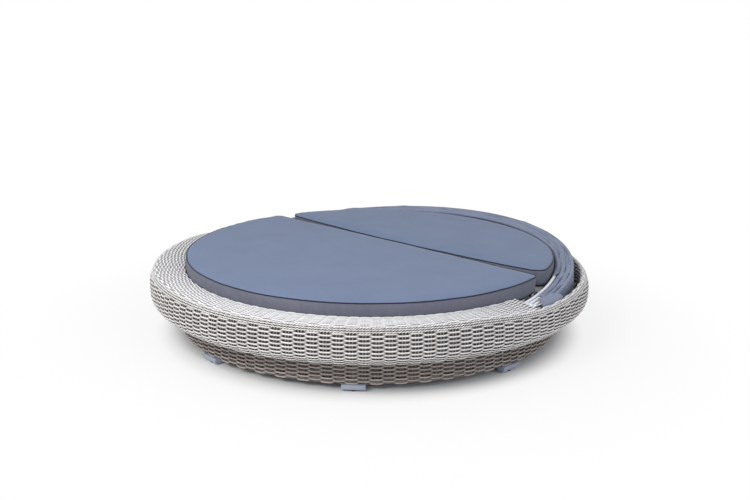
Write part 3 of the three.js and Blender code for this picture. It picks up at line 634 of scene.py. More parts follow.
        turn = add_node(tree, "ShaderNodeMath", {0: side.outputs[0], 1: given["Spread"], 2: even.outputs[0]},
                        operation="MULTIPLY_ADD")
        spin = add_node(tree, "ShaderNodeCombineXYZ", {2: turn.outputs[0]})
        copies = add_node(tree, "GeometryNodeInstanceOnPoints", {
            "Points": spots.outputs[0], "Instance": wire.outputs[0], "Rotation": spin.outputs[0]})
        loose = add_node(tree, "GeometryNodeRealizeInstances", {0: copies.outputs[0]})
        down = add_node(tree, "ShaderNodeMath", {0: rim_fall(tree), 1: -1.0}, operation="MULTIPLY")
        shift = add_node(tree, "ShaderNodeCombineXYZ", {2: down.outputs[0]})
        moved = add_node(tree, "GeometryNodeSetPosition", {"Geometry": loose.outputs[0], "Offset": shift.outputs[0]})
        # Stakes lie half deep, so they take half of the strand's painted shade
        marked = add_node(tree, "GeometryNodeStoreNamedAttribute", {
            "Geometry": moved.outputs[0], "Name": "depth", "Value": 0.55}, data_type="FLOAT", domain="POINT")
        soft = add_node(tree, "GeometryNodeSetShadeSmooth", {"Geometry": marked.outputs[0]})
        whole = add_node(tree, "GeometryNodeRealizeInstances", {0: soft.outputs[0]})
        done = add_node(tree, "GeometryNodeSetMaterial", {"Geometry": whole.outputs[0], "Material": given["Strand"]})
        add_node(tree, "NodeGroupOutput", {0: done.outputs[0]})
        return tree

    def weave(self, shell: Shell, strand: bpy.types.Material, stake: bpy.types.Material) -> None:
        """Weaves one shell, one piece for each span of the round, and its stakes.

        Args:
            shell: the surface to weave.
            strand: the finish of the strands.
            stake: the finish of the stakes.
        """
        for number, (start, end) in enumerate(shell.spans):
            sweep = math.radians(end - start)
            piece = grow(shell.seed_points(f"{shell.name}_strands_{number + 1}"), self.strands, {
                "Stakes": float(shell.stakes), "Swing": shell.swing, "Sag": shell.sag, "Twist": 0.0,
                "Softness": 0.18, "Drift": shell.drift, "Width": shell.width, "Thickness": shell.thick,
                "Narrowing": 0.45, "Start": math.radians(start), "Sweep": sweep, "Strand": strand,
                "Steps": int(shell.stakes * shell.steps * sweep / math.tau) + 1})
            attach(piece, "root")
            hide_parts(*shell.nodes)
        first, last = shell.spans[0][0], shell.spans[-1][1]
        step = 360 / shell.stakes
        begin, stop = math.ceil((first + 0.2) / step) * step, (last - 0.2)
        radius = max(r for r, _ in shell.line)
        wires = grow(shell.stake_line(f"{shell.name}_stakes"), self.stakes, {
            "Stakes": float(shell.stakes), "Count": 2 * (int((stop - begin) / step) + 1),
            "First": math.radians(begin), "Spread": shell.stake_gap / 2 / radius,
            "Thickness": shell.stake_thick, "Strand": stake})
        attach(wires, "root")
        LOG.info("wove %s", shell.name)

    def twist(self, name: str, spot: Pair, fall: float, turns: int, material: bpy.types.Material) -> None:
        """Lays a twisted pair of strands round the ring, where two woven faces meet.

        Args:
            name: the piece's name.
            spot: the pair's radius from the middle, and its height.
            fall: how much lower it runs along the well.
            turns: how many full turns the pair makes.
            material: its finish.
        """
        seeds = mesh_object(name, [(0, 0, spot[1])] * 2, [])
        values = {"radius": [spot[0]] * 2, "out_r": [0.7] * 2, "out_z": [0.7] * 2, "along_r": [-0.7] * 2,
                  "along_z": [0.7] * 2, "phase": [0, math.pi], "tilt": [-0.8] * 2, "tone": [0.4, 0.9],
                  "fall": [fall] * 2}
        for key, pair in values.items():
            seeds.data.attributes.new(key, "FLOAT", "POINT").data.foreach_set("value", pair)
        piece = grow(seeds, self.strands, {
            "Stakes": float(2 * turns), "Swing": 0.0022, "Sag": 0.0, "Twist": 0.0022, "Softness": 6.0,
            "Drift": 0.001, "Width": 0.0034, "Thickness": 0.0030, "Narrowing": 0.0, "Start": 0.0,
            "Sweep": math.tau, "Strand": material, "Steps": turns * 6 + 1})
        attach(piece, "root")


@dataclass
class WovenBody:
    """The woven ring, its shelf, its well and the base under it, in metres."""

    rim_inner: float = 1.0160
    rim_width: float = 0.0340
    ring_bottom: float = 0.1586
    ring_depth: float = 0.1580
    rear_drop: float = 0.0240
    base_radius: float = 0.9120
    base_bottom: float = 0.0316
    curb_inner: float = 0.8842
    curb_outer: float = 0.8902
    well_inner: float = 1.0097
    well_floor: float = 0.1912
    shelf_fall: float = 0.0090
    shelf_lip: float = 0.0320
    curb_drop: float = 0.0200
    well_end: float = 2.2374
    ring_stakes: int = 130
    base_stakes: int = 114

    @property
    def ring_top(self) -> float:
        """The height of the ring's flat top."""
        return self.ring_bottom + self.ring_depth

    def rim_spots(self, shares: list[Pair]) -> list[Pair]:
        """Places on the rim's outside from shares of its width and depth."""
        return [(self.rim_inner + a * self.rim_width, self.ring_bottom + b * self.ring_depth)
                for a, b in shares]

    def wall_fall(self, radius: float, height: float) -> float:
        """How much lower a place on the outer wall lies along the well."""
        return self.rear_drop * (height - self.ring_bottom) / self.ring_depth

    def shelf_drop(self, radius: float, height: float) -> float:
        """How much lower a place on the shelf lies at the well's end."""
        return self.rear_drop * min((radius - self.curb_inner) / (self.rim_inner - self.curb_inner) / 0.8, 1)

    def shells(self) -> list[Shell]:
        """Every woven surface.

        Returns:
            The shells, outermost first.
        """
        top, bottom = self.ring_top, self.ring_bottom
        face = self.rim_spots([(0, 0), (0.14, 0), (0.4, 0.07), (0.76, 0.16), (0.96, 0.29), (1, 0.42),
                               (1, 0.57), (0.94, 0.7), (0.76, 0.82), (0.62, 0.866)])
        crest = self.rim_spots([(0.32, 0.955), (0.2, 0.985), (0.08, 1), (-0.06, 1)])
        run = self.rim_inner - self.curb_inner
        shelf = [(self.curb_inner + a * run, top - b * self.shelf_fall) for a, b in (
            (1, 0), (0.8, 0), (0.3, 0.5), (0.05, 0.9))]
        shelf += [(self.curb_inner, top - self.shelf_fall - 0.008), (self.curb_inner, top - self.shelf_lip)]
        rear = (-self.well_end, 180 + self.well_end)
        front = (180 + self.well_end + 0.4, 360 - self.well_end - 0.4)
        halves = [Part.REAR.value, Part.FRONT.value]
        return [
            Shell("outer_wall", ("outer_weave",), face, halves, self.ring_stakes, "wicker",
                  falls=self.wall_fall),
            Shell("rim_crest", (), crest, halves, self.ring_stakes, "wicker", "shelf_strand", pitch=0.0055,
                  width=0.0056, swing=0.0014, inset=0.002, falls=self.wall_fall),
            Shell("front_shelf", ("shelf_weave",), shelf, [front], self.ring_stakes, "wicker",
                  "shelf_strand", pitch=0.0082, swing=0.0022, sag=0.0012, inset=0.0028,
                  falls=self.shelf_drop),
            Shell("well_wall", ("well_wall_weave",), [(self.well_inner, top - self.rear_drop - 0.002),
                  (self.well_inner, 0.2450), (self.well_inner, self.well_floor)], [rear],
                  self.ring_stakes, "wicker"),
            Shell("well_floor", ("well_floor_weave",), [(self.well_inner, self.well_floor), (0.94, self.well_floor),
                  (self.curb_outer, self.well_floor)], [rear], self.ring_stakes, "wicker_shaded",
                  "low_strand", steps=4),
            Shell("inner_curb", ("curb_weave",), [(self.curb_outer, self.well_floor - 0.006),
                  (self.curb_outer, 0.24), (self.curb_outer, top - self.curb_drop)], [(6.0, 174.0)],
                  self.ring_stakes, "wicker", thick=0.0026, swing=0.0016, sag=0.0012, stake_thick=0.002,
                  inset=0.003),
            Shell("base_wall", ("base_weave",), [(self.base_radius, self.base_bottom), (self.base_radius, 0.095),
                  (self.base_radius, bottom)], halves, self.base_stakes, "wicker_shaded", "low_strand"),
            Shell("underside", ("underside_weave",), [(self.base_radius, bottom), (0.96, bottom),
                  (self.rim_inner, bottom)], [(0.0, 360.0)], self.base_stakes, "wicker_shaded",
                  "low_strand", steps=4, inset=0.003),
        ]

    def build(self, finishes: dict[str, bpy.types.Material]) -> None:
        """Weaves every shell and the seam of twisted pairs round the rim."""
        weaver = Weaver(finishes)
        for shell in self.shells():
            weaver.weave(shell, finishes[shell.finish], finishes[shell.finish])
        for number, spot in enumerate([(1.0258, 0.3112), (1.0314, 0.3040), (1.0362, 0.2960)]):
            weaver.twist(f"rim_seam_{number + 1}", spot, self.wall_fall(*spot), 260, finishes["strand"])


# ---------------------------------------------------------------- canopy


def sheet_grid(name: str, rows: list[list[Vector]], material: bpy.types.Material,
               thick: float) -> bpy.types.Object:
    """Makes a sheet of cloth from rows of places, with its cut size in metres as UV.

    Args:
        name: its name.
        rows: places along the sheet, each row from one edge to the other.
        material: its finish.
        thick: the cloth's thickness.

    Returns:
        The new object, with its thickness applied.
    """
    columns = len(rows[0])
    piece = mesh_object(name, [p for row in rows for p in row], grid_faces(len(rows), columns), [material])
    middle = [row[columns // 2] for row in rows]
    gone = [0.0]
    for a, b in zip(middle, middle[1:]):
        gone.append(gone[-1] + (b - a).length)
    across = [[0.0] for _ in rows]
    for marks, row in zip(across, rows):
        for a, b in zip(row, row[1:]):
            marks.append(marks[-1] + (b - a).length)
    layer = piece.data.uv_layers.new(name="Cut")
    for loop in piece.data.loops:
        row, column = divmod(loop.vertex_index, columns)
        layer.data[loop.index].uv = (gone[row], across[row][column])
    solid = piece.modifiers.new("Thickness", "SOLIDIFY")
    solid.thickness, solid.offset = thick, 0.0
    return settle(piece)


def eased(first: float, last: float, share: float) -> float:
    """A value between two others."""
    return first + (last - first) * share


@dataclass
class Canopy:
    """The folded canopy: cloth over nested bows that hangs between them, a skirt and two end flaps."""

    radii: tuple[float, ...] = (0.9022, 0.9242, 0.9462, 0.9682)
    bodies: tuple[str, ...] = ("front_bow", "second_bow", "third_bow", "root")
    pivot: float = 0.2756
    lean: float = 6.0
    pitch: float = 0.0220
    loop: float = 0.2060
    hem: float = 0.1965
    cloth: float = 0.0008

    def spot(self, turn: float, radius: float, lift: float) -> Vector:
        """A place in the plane of the bows, at an angle in radians."""
        lean = math.radians(self.lean)
        along = radius * math.sin(turn)
        return Vector((radius * math.cos(turn), along * math.cos(lean) - lift * math.sin(lean),
                       self.pivot + along * math.sin(lean) + lift * math.cos(lean)))

    @staticmethod
    def fullness(turn: float, gore: int) -> float:
        """How far the cloth bridges flat to the next bow: always near the ends, elsewhere in folds."""
        edge = min(turn, math.pi - turn)
        folds = 0.45 + 1.5 * noise.noise(Vector((4.2 * turn, 7.3 * gore, 0.4)))
        return max(1 - smooth((edge - 0.45) / 0.35), smooth(folds))

    def hang(self, turn: float, radius: float, side: float, seed: float, low: float, count: int) -> list[Vector]:
        """One side of a hanging loop, from between the bows down to its lowest line.

        Args:
            turn: the angle round the bow.
            radius: the radius midway between the two bows.
            side: -1 for the side next to the inner bow, 1 for the other.
            seed: what the cloth's sway is drawn from.
            low: the height of the loop's lowest line.
            count: how many places there are.

        Returns:
            The places, top first.
        """
        top = self.spot(turn, radius, -0.010)
        outward = Vector((top.x, top.y, 0)).normalized()
        line = []
        for i in range(count):
            share = (i + 1) / count
            spread = 0.0008 + 0.0030 * smooth(share / 0.5)
            if share > 0.85:
                spread *= math.sqrt(max(0.0, 1 - ((share - 0.85) / 0.15) ** 2))
            sway = 0.004 * noise.noise(Vector((9 * turn, seed, 1.5 * share))) * math.sin(math.pi * share)
            place = top + outward * (side * spread + sway)
            line.append(Vector((place.x, place.y, eased(top.z, low, share))))
        return line

    def first_half(self, gore: int, turn: float) -> list[Vector]:
        """The cloth over one bow, across to the next and down into the loop."""
        fold, bow = self.fullness(turn, gore), self.radii[gore]
        begin, end, tuck = (230 if gore == 0 else 205), eased(40, 80, fold), math.radians(eased(15, 62, fold))
        line = [(0.0097 * math.cos(a), 0.0097 * math.sin(a)) for a in np.radians(np.linspace(begin, end, 12))]
        far = (self.pitch - 0.0116 * math.cos(tuck), 0.0116 * math.sin(tuck))
        near = line[-1]
        for share in (0.25, 0.5, 0.75, 1.0):
            dip = 0.0006 * math.sin(math.pi * share)
            line.append((eased(near[0], far[0], share), eased(near[1], far[1], share) - dip))
        over = tuck + math.radians(4)
        line.append((self.pitch - 0.01115 * math.cos(over), 0.01115 * math.sin(over)))
        for back in np.linspace(tuck, math.radians(5), 6):
            line.append((self.pitch - 0.0107 * math.cos(back), 0.0107 * math.sin(back)))
        line += [(0.0109, -0.002), (0.0105, -0.006), (0.0102, -0.010)]
        places = [self.spot(turn, bow + u, v) for u, v in line]
        # Slack cloth buckles upwards, in ridges that run slantwise along the band
        for i, place in enumerate(places[8:20]):
            ridge = noise.noise(Vector((9 * turn + 0.3 * i, 0.25 * i - 3.5 * turn, 5.1 * gore)))
            place.z += 0.0165 * max(0.0, ridge) * math.sin(math.pi * (i + 1) / 13)
        return places + self.hang(turn, bow + self.pitch / 2, -1, gore, self.loop, 20)

    def second_half(self, gore: int, turn: float) -> list[Vector]:
        """The cloth from the bottom of the loop up to the side of the next bow."""
        bow = self.radii[gore]
        rise = self.hang(turn, bow + self.pitch / 2, 1, gore, self.loop, 20)[::-1]
        line = [(0.0118, -0.010), (0.0119, -0.007), (0.0121, -0.0036)]
        return rise + [self.spot(turn, bow + u, v) for u, v in line]

    def skirt(self, turn: float) -> list[Vector]:
        """The cloth over the rear bow and down behind it to the hem."""
        bow = self.radii[-1]
        places = [self.spot(turn, bow + 0.0097 * math.cos(a), 0.0097 * math.sin(a))
                  for a in np.radians(np.linspace(205, -5, 18))]
        top = places[-1]
        outward = Vector((top.x, top.y, 0)).normalized()
        for i in range(16):
            share = (i + 1) / 16
            wave = 0.5 + 0.5 * math.sin(31 * turn + 3 * noise.noise(Vector((5 * turn, 2.0, 0.5))))
            place = top + outward * (0.012 * wave * smooth(share))
            places.append(Vector((place.x, place.y, eased(top.z, self.hem, share))))
        return places

    def flap(self, side: int) -> list[list[Vector]]:
        """The loose end of the cloth, which lies over the bow ends at one side.

        Args:
            side: 1 for the right and -1 for the left.

        Returns:
            Rows of places from the hinge on along the rim.
        """
        net = np.array([
            [(935, 60, 296), (953, 50, 298), (971, 36, 296), (987, 22, 284), (992, 19, 270)],
            [(936, 88, 297), (955, 78, 300), (974, 64, 298), (991, 56, 288), (999, 57, 274)],
            [(938, 116, 299), (958, 110, 303), (977, 100, 300), (994, 94, 290), (1001, 97, 276)],
            [(946, 139, 303), (964, 137, 304), (981, 131, 299), (995, 128, 291), (1002, 130, 280)],
            [(968, 162, 306), (977, 168, 304), (984, 171, 299), (989, 173, 293), (991, 174, 287)]]) / 1000
        net[..., 0] *= side
        steps = np.linspace(0, 1, 41)

        def refine(rows: np.ndarray) -> np.ndarray:
            """Runs a smooth curve through each column of places."""
            rows = np.concatenate([2 * rows[:1] - rows[1:2], rows, 2 * rows[-1:] - rows[-2:-1]])
            fine = []
            for share in steps * (len(rows) - 3):
                k = min(int(share), len(rows) - 4)
                t = share - k
                a, b, c, d = rows[k:k + 4]
                fine.append(0.5 * (2 * b + (c - a) * t + (2 * a - 5 * b + 4 * c - d) * t ** 2
                                   + (3 * b - a - 3 * c + d) * t ** 3))
            return np.array(fine)

        fine = refine(refine(net).transpose(1, 0, 2)).transpose(1, 0, 2)
        rows = []
        for row in fine:
            places = [Vector(p) for p in row]
            for place in places:
                place.z += 0.0015 * noise.noise(place * 38)
            rows.append(places)
        return rows

    def build(self, finishes: dict[str, bpy.types.Material]) -> None:
        """Makes every sheet of the canopy."""
        cloth = finishes["canopy"]
        for gore, node in enumerate(("canopy_front_gore", "canopy_middle_gore", "canopy_rear_gore")):
            edge = 22.5 if gore == 0 else 6.0
            turns = np.radians(np.arange(edge, 180.01 - edge, 1.0))
            first = sheet_grid(f"{node}_upper", [self.first_half(gore, t) for t in turns], cloth, self.cloth)
            second = sheet_grid(f"{node}_lower", [self.second_half(gore, t) for t in turns], cloth, self.cloth)
            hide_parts(node)
            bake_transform(first)
            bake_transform(second)
        turns = np.radians(np.arange(5.9, 174.2, 0.8))
        skirt = sheet_grid("canopy_skirt_cloth", [self.skirt(t) for t in turns], cloth, self.cloth)
        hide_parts("canopy_skirt")
        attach(skirt, "root")
        for side, name in ((1, "right"), (-1, "left")):
            piece = sheet_grid(f"canopy_flap_{name}", self.flap(side), cloth, self.cloth)
            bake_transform(piece)
        LOG.info("hung the canopy")


# ---------------------------------------------------------------- bows, hinges and feet


def lathe(points: list, faces: list, profile: list[Pair], x0: float, height: float, sides: int = 32) -> None:
    """Adds a solid turned about a line along X to a list of points and faces.

    Args:
        points: the corners so far.
        faces: the faces so far.
        profile: places in [along X, radius]; closed on itself if it ends where it starts.
        x0: the place of its start along X.
        height: the height of the line.
        sides: how many sides it has.
    """
    closed = profile[0] == profile[-1]
    rings = profile[:-1] if closed else profile
    base, count = len(points), len(rings)
    for along, radius in rings:
        for k in range(sides):
            turn = math.tau * (k + 0.5) / sides
            points.append((x0 + along, radius * math.cos(turn), height + radius * math.sin(turn)))
    for i in range(count if closed else count - 1):
        j = (i + 1) % count
        for k in range(sides):
            m = (k + 1) % sides
            faces.append((base + i * sides + k, base + j * sides + k, base + j * sides + m, base + i * sides + m))
    if not closed:
        faces.append(tuple(base + k for k in range(sides)))
        faces.append(tuple(base + (count - 1) * sides + k for k in reversed(range(sides))))


@dataclass
class Hardware:
    """The bows with their bored ends, and the rods, nuts and washers of the hinges."""

    canopy: Canopy
    tube: float = 0.0080
    boss: float = 0.0130
    bore: float = 0.0055
    boss_half: float = 0.0100

    def bow(self, number: int) -> tuple[list, list]:
        """A bent tube with a bored boss at each end."""
        radius, sides = self.canopy.radii[number], 20
        points, faces = [], []
        turns = np.radians(np.linspace(0.75, 179.25, 180))
        for turn in turns:
            for k in range(sides):
                a = math.tau * k / sides
                points.append(self.canopy.spot(turn, radius + self.tube * math.cos(a), self.tube * math.sin(a)))
        for i in range(len(turns) - 1):
            for k in range(sides):
                m = (k + 1) % sides
                faces.append((i * sides + k, (i + 1) * sides + k, (i + 1) * sides + m, i * sides + m))
        faces.append(tuple(range(sides)))
        faces.append(tuple((len(turns) - 1) * sides + k for k in reversed(range(sides))))
        half, edge = self.boss_half, 0.0012
        ring = [(-half, self.bore), (-half, self.boss - edge), (edge - half, self.boss),
                (half - edge, self.boss), (half, self.boss - edge), (half, self.bore), (-half, self.bore)]
        for side in (-1, 1):
            lathe(points, faces, ring, side * radius, self.canopy.pivot)
        return points, faces

    def place(self, name: str, shape: tuple[list, list], material: bpy.types.Material, body: str, slot: str,
              *nodes: str) -> None:
        """Adds a finished hard piece in place of its plain nodes."""
        piece = mesh_object(name, *shape, [material])
        fix_outward(piece)
        for face in piece.data.polygons:
            face.use_smooth = len(face.vertices) == 4
        piece.data.set_sharp_from_angle(angle=math.radians(35))
        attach(piece, body)
        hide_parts(*nodes)

    def build(self, finishes: dict[str, bpy.types.Material]) -> None:
        """Makes every piece."""
        for number, (name, body) in enumerate(zip(("front", "second", "third", "rear"), self.canopy.bodies)):
            self.place(f"{name}_bow_tube", self.bow(number), finishes["powder"], body, "bow_paint", f"bow_{name}")
        height = self.canopy.pivot
        for side, name in ((1, "right"), (-1, "left")):
            points, faces = [], []
            shank = [(0.8851, 0.0050), (0.9906, 0.0050), (0.9914, 0.0042)]
            head = [(0.8826, 0.0040), (0.8834, 0.0066), (0.8846, 0.0078), (0.8868, 0.0080), (0.8876, 0.0078)]
            for profile in (shank, head):
                lathe(points, faces, [(side * x, r) for x, r in profile], 0.0, height)
            self.place(f"hinge_rod_{name}_turned", (points, faces), finishes["stainless"], "root", "hinge_steel",
                       f"hinge_rod_{name}")
            points, faces = [], []
            nut = [(0.9828, 0.0052), (0.9828, 0.0082), (0.9834, 0.0090), (0.9902, 0.0090), (0.9908, 0.0082),
                   (0.9908, 0.0052), (0.9828, 0.0052)]
            lathe(points, faces, [(side * x, r) for x, r in nut], 0.0, height, 6)
            self.place(f"hinge_nut_{name}_hex", (points, faces), finishes["stainless"], "root", "hinge_steel",
                       f"hinge_nut_{name}")
            for number, radius in enumerate(self.canopy.radii[:3]):
                points, faces = [], []
                start = radius + self.boss_half + 0.0003
                washer = [(start, 0.0056), (start, 0.0110), (start + 0.0014, 0.0110), (start + 0.0014, 0.0056),
                          (start, 0.0056)]
                lathe(points, faces, [(side * x, r) for x, r in washer], 0.0, height)
                node = f"hinge_washer_{name}_{number + 1}"
                self.place(f"{node}_round", (points, faces), finishes["nylon"], "root", "washer_nylon", node)
        LOG.info("made the bows and hinges")


@dataclass
class Feet:
    """The foot blocks and glides, one of each copied round the base."""

    count: int = 8
    first: float = -5.0
    reach: float = 0.8990

    @staticmethod
    def ring_tree() -> bpy.types.NodeTree:
        """Copies of a piece, turned about the middle at even angles."""
        tree = new_tree("Ring of copies", [("Geometry", "Geometry"), ("Count", "Int"), ("First", "Float"),
                                           ("Finish", "Material")])
        given = add_node(tree, "NodeGroupInput").outputs
        maths = sums(tree)
        spots = add_node(tree, "GeometryNodeMeshLine", {"Count": given["Count"], "Offset": (0, 0, 0)})
        index = add_node(tree, "GeometryNodeInputIndex").outputs[0]
        turn = maths("MULTIPLY_ADD", maths("DIVIDE", index, given["Count"]), math.tau, given["First"])
        spin = add_node(tree, "ShaderNodeCombineXYZ", {2: turn})
        copies = add_node(tree, "GeometryNodeInstanceOnPoints", {
            "Points": spots.outputs[0], "Instance": given["Geometry"], "Rotation": spin.outputs[0]})
        whole = add_node(tree, "GeometryNodeRealizeInstances", {0: copies.outputs[0]})
        done = add_node(tree, "GeometryNodeSetMaterial", {"Geometry": whole.outputs[0], "Material": given["Finish"]})
        add_node(tree, "NodeGroupOutput", {0: done.outputs[0]})
        return tree

    def block(self) -> bpy.types.Object:
        """One foot block with its lower outside edge cut back and its other edges softened."""
        profile = [(0.8780, 0.0063), (0.9110, 0.0063), (0.9200, 0.0125), (0.9200, 0.0313), (0.8780, 0.0313)]
        points = [(x, side * 0.0490, z) for side in (-1, 1) for x, z in profile]
        faces = [(0, 1, 2, 3, 4), (9, 8, 7, 6, 5), *[(i, i + 5, (i + 1) % 5 + 5, (i + 1) % 5) for i in range(5)]]
        piece = mesh_object("foot_blocks", points, faces)
        fix_outward(piece)
        soft = piece.modifiers.new("Soft edges", "BEVEL")
        soft.width, soft.segments = 0.0022, 3
        return settle(piece)

    def glide(self) -> bpy.types.Object:
        """One glide pad with a rounded edge, and its stem."""
        points, faces = [], []
        lathe(points, faces, [(0, 0.0098), (0.0008, 0.0108), (0.0020, 0.0110), (0.0052, 0.0110), (0.0060, 0.0103),
                              (0.0060, 0.0050), (0.0200, 0.0050)], 0.0, 0.0)
        piece = mesh_object("glide_pads", [(self.reach - z, y, x) for x, y, z in points], faces)
        fix_outward(piece)
        piece.data.set_sharp_from_angle(angle=math.radians(35))
        return piece

    def build(self, finishes: dict[str, bpy.types.Material]) -> None:
        """Copies both round the base."""
        tree = self.ring_tree()
        for piece, finish, slot, stem in ((self.block(), "foot", "foot_plastic", "foot"),
                                          (self.glide(), "rubber", "glide_rubber", "glide")):
            grow(piece, tree, {"Count": self.count, "First": math.radians(self.first), "Finish": finishes[finish]})
            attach(piece, "root")
            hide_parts(*[f"{stem}_{i + 1}" for i in range(self.count)])
        LOG.info("set the feet")


# ---------------------------------------------------------------- cushions


@dataclass
class Cushion:
    """One half-moon cushion: foam in a sewn cover with a border and piped seams, in metres."""

    name: str
    node: str
    body: str
    side: int
    sag: float
    corner: float
    radius: float = 0.8822
    split: float = 0.1760
    gap: float = 0.0020
    bottom: float = 0.2839
    thickness: float = 0.0800
    crown: float = 0.0100
    pull_in: float = 0.0140
    piping: float = 0.0028
    voxel: float = 0.0120
    cap: float = 0.0070

    def outline(self, inset: float, fine: float = 0.012) -> list[Vector]:
        """The half moon's outline, pulled in.

        Args:
            inset: how far it is pulled in.
            fine: the distance between its points.

        Returns:
            Points in the plane, anticlockwise for the rear cushion.
        """
        near = self.side * self.split + self.gap / 2
        edge_radius = (self.radius ** 2 + self.sag ** 2) / (2 * self.sag)
        centre = near + edge_radius
        big, edge, fillet = self.radius - inset, edge_radius - inset, self.corner - inset
        y = ((big - fillet) ** 2 - (edge - fillet) ** 2 + centre ** 2) / (2 * centre)
        x = math.sqrt((big - fillet) ** 2 - y ** 2)
        out, down = math.atan2(y, x), math.atan2(y - centre, x)
        arcs = [((0, 0), big, out, math.pi - out), ((-x, y), fillet, math.pi - out, math.pi - down),
                ((0, centre), edge, -math.pi - down, down), ((x, y), fillet, down, out)]
        points = []
        for (cx, cy), size, begin, end in arcs:
            count = max(4, round(abs(end - begin) * size / fine))
            for k in range(count):
                turn = begin + (end - begin) * k / count
                x, y = cx + size * math.cos(turn), cy + size * math.sin(turn)
                # Sewn borders ripple in and out by a millimetre or two
                ripple = 0.0036 * noise.noise(Vector((7 * x, 7 * y, 0.5 + self.side))) - 0.0006
                points.append(Vector((x + ripple * math.cos(turn), self.side * (y + ripple * math.sin(turn)))))
        return points

    def start_shape(self) -> bpy.types.Object:
        """A closed block, a little smaller than the stuffed cushion."""
        middle = Vector((0, (self.split + self.side * self.radius) / 2))
        low, high = self.bottom + 0.0005, self.bottom + self.thickness
        rings = [(inset, low + up * (high - low)) for inset, up in (
            (0.5, 0), (0.25, 0.03), (0.1, 0.1), (0.22, 0.35), (0.22, 0.65), (0.1, 0.9), (0.25, 0.975),
            (0.5, 1))]
        points, count = [], 0
        for inset, height in rings:
            line = self.outline(inset * self.pull_in)
            count = count or len(line)
            line = [line[int(i * len(line) / count)] for i in range(count)]
            points += [(p.x, p.y, height) for p in line]
        rim = self.outline(0.5 * self.pull_in)
        rim = [rim[int(i * len(rim) / count)] for i in range(count)]
        for share in (0.93, 0.8, 0.6, 0.3, 0.05):
            height = high + (self.crown - 0.004) * (1 - share ** 4)
            points += [((p.x - middle.x) * share + middle.x, (p.y - middle.y) * share + middle.y, height)
                       for p in rim]
        rows = len(rings) + 5
        faces = grid_faces(rows, count, closed=True)
        if self.side > 0:
            faces = [tuple(reversed(f)) for f in faces]
        ends = [tuple(range(count)), tuple(range((rows - 1) * count, rows * count))]
        if self.side > 0:
            faces += [tuple(reversed(ends[0])), ends[1]]
        else:
            faces += [ends[0], tuple(reversed(ends[1]))]
        return mesh_object(self.name, points, faces)

    def stuff(self, piece: bpy.types.Object) -> None:
        """Remeshes the block and blows it up as sewn cloth, with its seams held and its swell capped."""
        remesh = piece.modifiers.new("Even mesh", "REMESH")
        remesh.mode, remesh.voxel_size = "VOXEL", self.voxel * 1
        settle(piece)
        mesh = piece.data
        start = np.array([v.co for v in mesh.vertices])
        low, high = self.bottom, self.bottom + self.thickness
        held = piece.vertex_groups.new(name="seams")
        for i, (x, y, z) in enumerate(start):
            rim = math.hypot(x, y) > self.radius - 0.016 or abs(self.edge_distance(x, y)) < 0.016
            if z < low + 0.006 or (rim and high - 0.009 < z < high + 0.004):
                held.add([i], 1.0, "REPLACE")
        cloth = piece.modifiers.new("Cloth", "CLOTH")
        cloth.settings.quality = 5
        cloth.settings.use_pressure = True
        cloth.settings.uniform_pressure_force = 4.0
        cloth.settings.effector_weights.gravity = 0.0
        cloth.settings.vertex_group_mass = held.name
        cloth.settings.shrink_min = -0.012
        cloth.point_cache.frame_start, cloth.point_cache.frame_end = 1, 20
        for number in range(1, 21):
            bpy.context.scene.frame_set(number)
        settle(piece)
        bpy.context.scene.frame_set(1)
        mesh = piece.data
        moved = np.array([v.co for v in mesh.vertices])
        shift = moved - start
        length = np.linalg.norm(shift, axis=1)
        room = self.cap * np.tanh(length / self.cap)
        moved = start + shift * (room / np.maximum(length, 1e-9))[:, None]
        mesh.vertices.foreach_set("co", moved.ravel())
        mesh.update()

    def edge_distance(self, x: float, y: float) -> float:
        """How far a place lies from the split edge."""
        near = self.side * self.split + self.gap / 2
        edge_radius = (self.radius ** 2 + self.sag ** 2) / (2 * self.sag)
        return edge_radius - math.hypot(x, self.side * y - near - edge_radius)

    def pipe(self, piece: bpy.types.Object, height: float, name: str, material: bpy.types.Material) -> bpy.types.Object:
        """Sews a piping cord along the outline at a height, snapped to the cover."""
        tree = BVHTree.FromObject(piece, bpy.context.evaluated_depsgraph_get())
        line = self.outline(0.0, 0.010)
        path = []
        for p in line:
            hit = tree.find_nearest(Vector((p.x, p.y, height)))[0]
            path.append(Vector((hit.x, hit.y, 0.5 * hit.z + 0.5 * height)))
        count, sides = len(path), 8
        points = []
        for i, p in enumerate(path):
            way = (path[(i + 1) % count] - path[i - 1]).normalized()
            out = Vector((way.y, -way.x, 0)).normalized() * self.side
            up = Vector((0, 0, 1))
            for k in range(sides):
                turn = math.tau * k / sides
                points.append(p + (out * math.cos(turn) + up * math.sin(turn)) * self.piping)
        faces = []
        for i in range(count):
            j = (i + 1) % count
            for k in range(sides):
                m = (k + 1) % sides
                quad = (i * sides + k, j * sides + k, j * sides + m, i * sides + m)
                faces.append(quad if self.side < 0 else tuple(reversed(quad)))
        cord = mesh_object(name, points, faces, [material])
        mesh = cord.data
        mesh.update()
        fix_outward(cord)
        return cord

    def build(self, finishes: dict[str, bpy.types.Material]) -> None:
        """Makes the cushion and its piping."""
        piece = self.start_shape()
        fix_outward(piece)
        self.stuff(piece)
        piece.data.materials.append(finishes["seat_top"])
        piece.data.materials.append(finishes["seat_side"])
        smoother = piece.modifiers.new("Finer", "SUBSURF")
        smoother.levels = smoother.render_levels = 1
        settle(piece)
        mesh = piece.data
        mesh.polygons.foreach_set("use_smooth", [True] * len(mesh.polygons))
        high = self.bottom + self.thickness
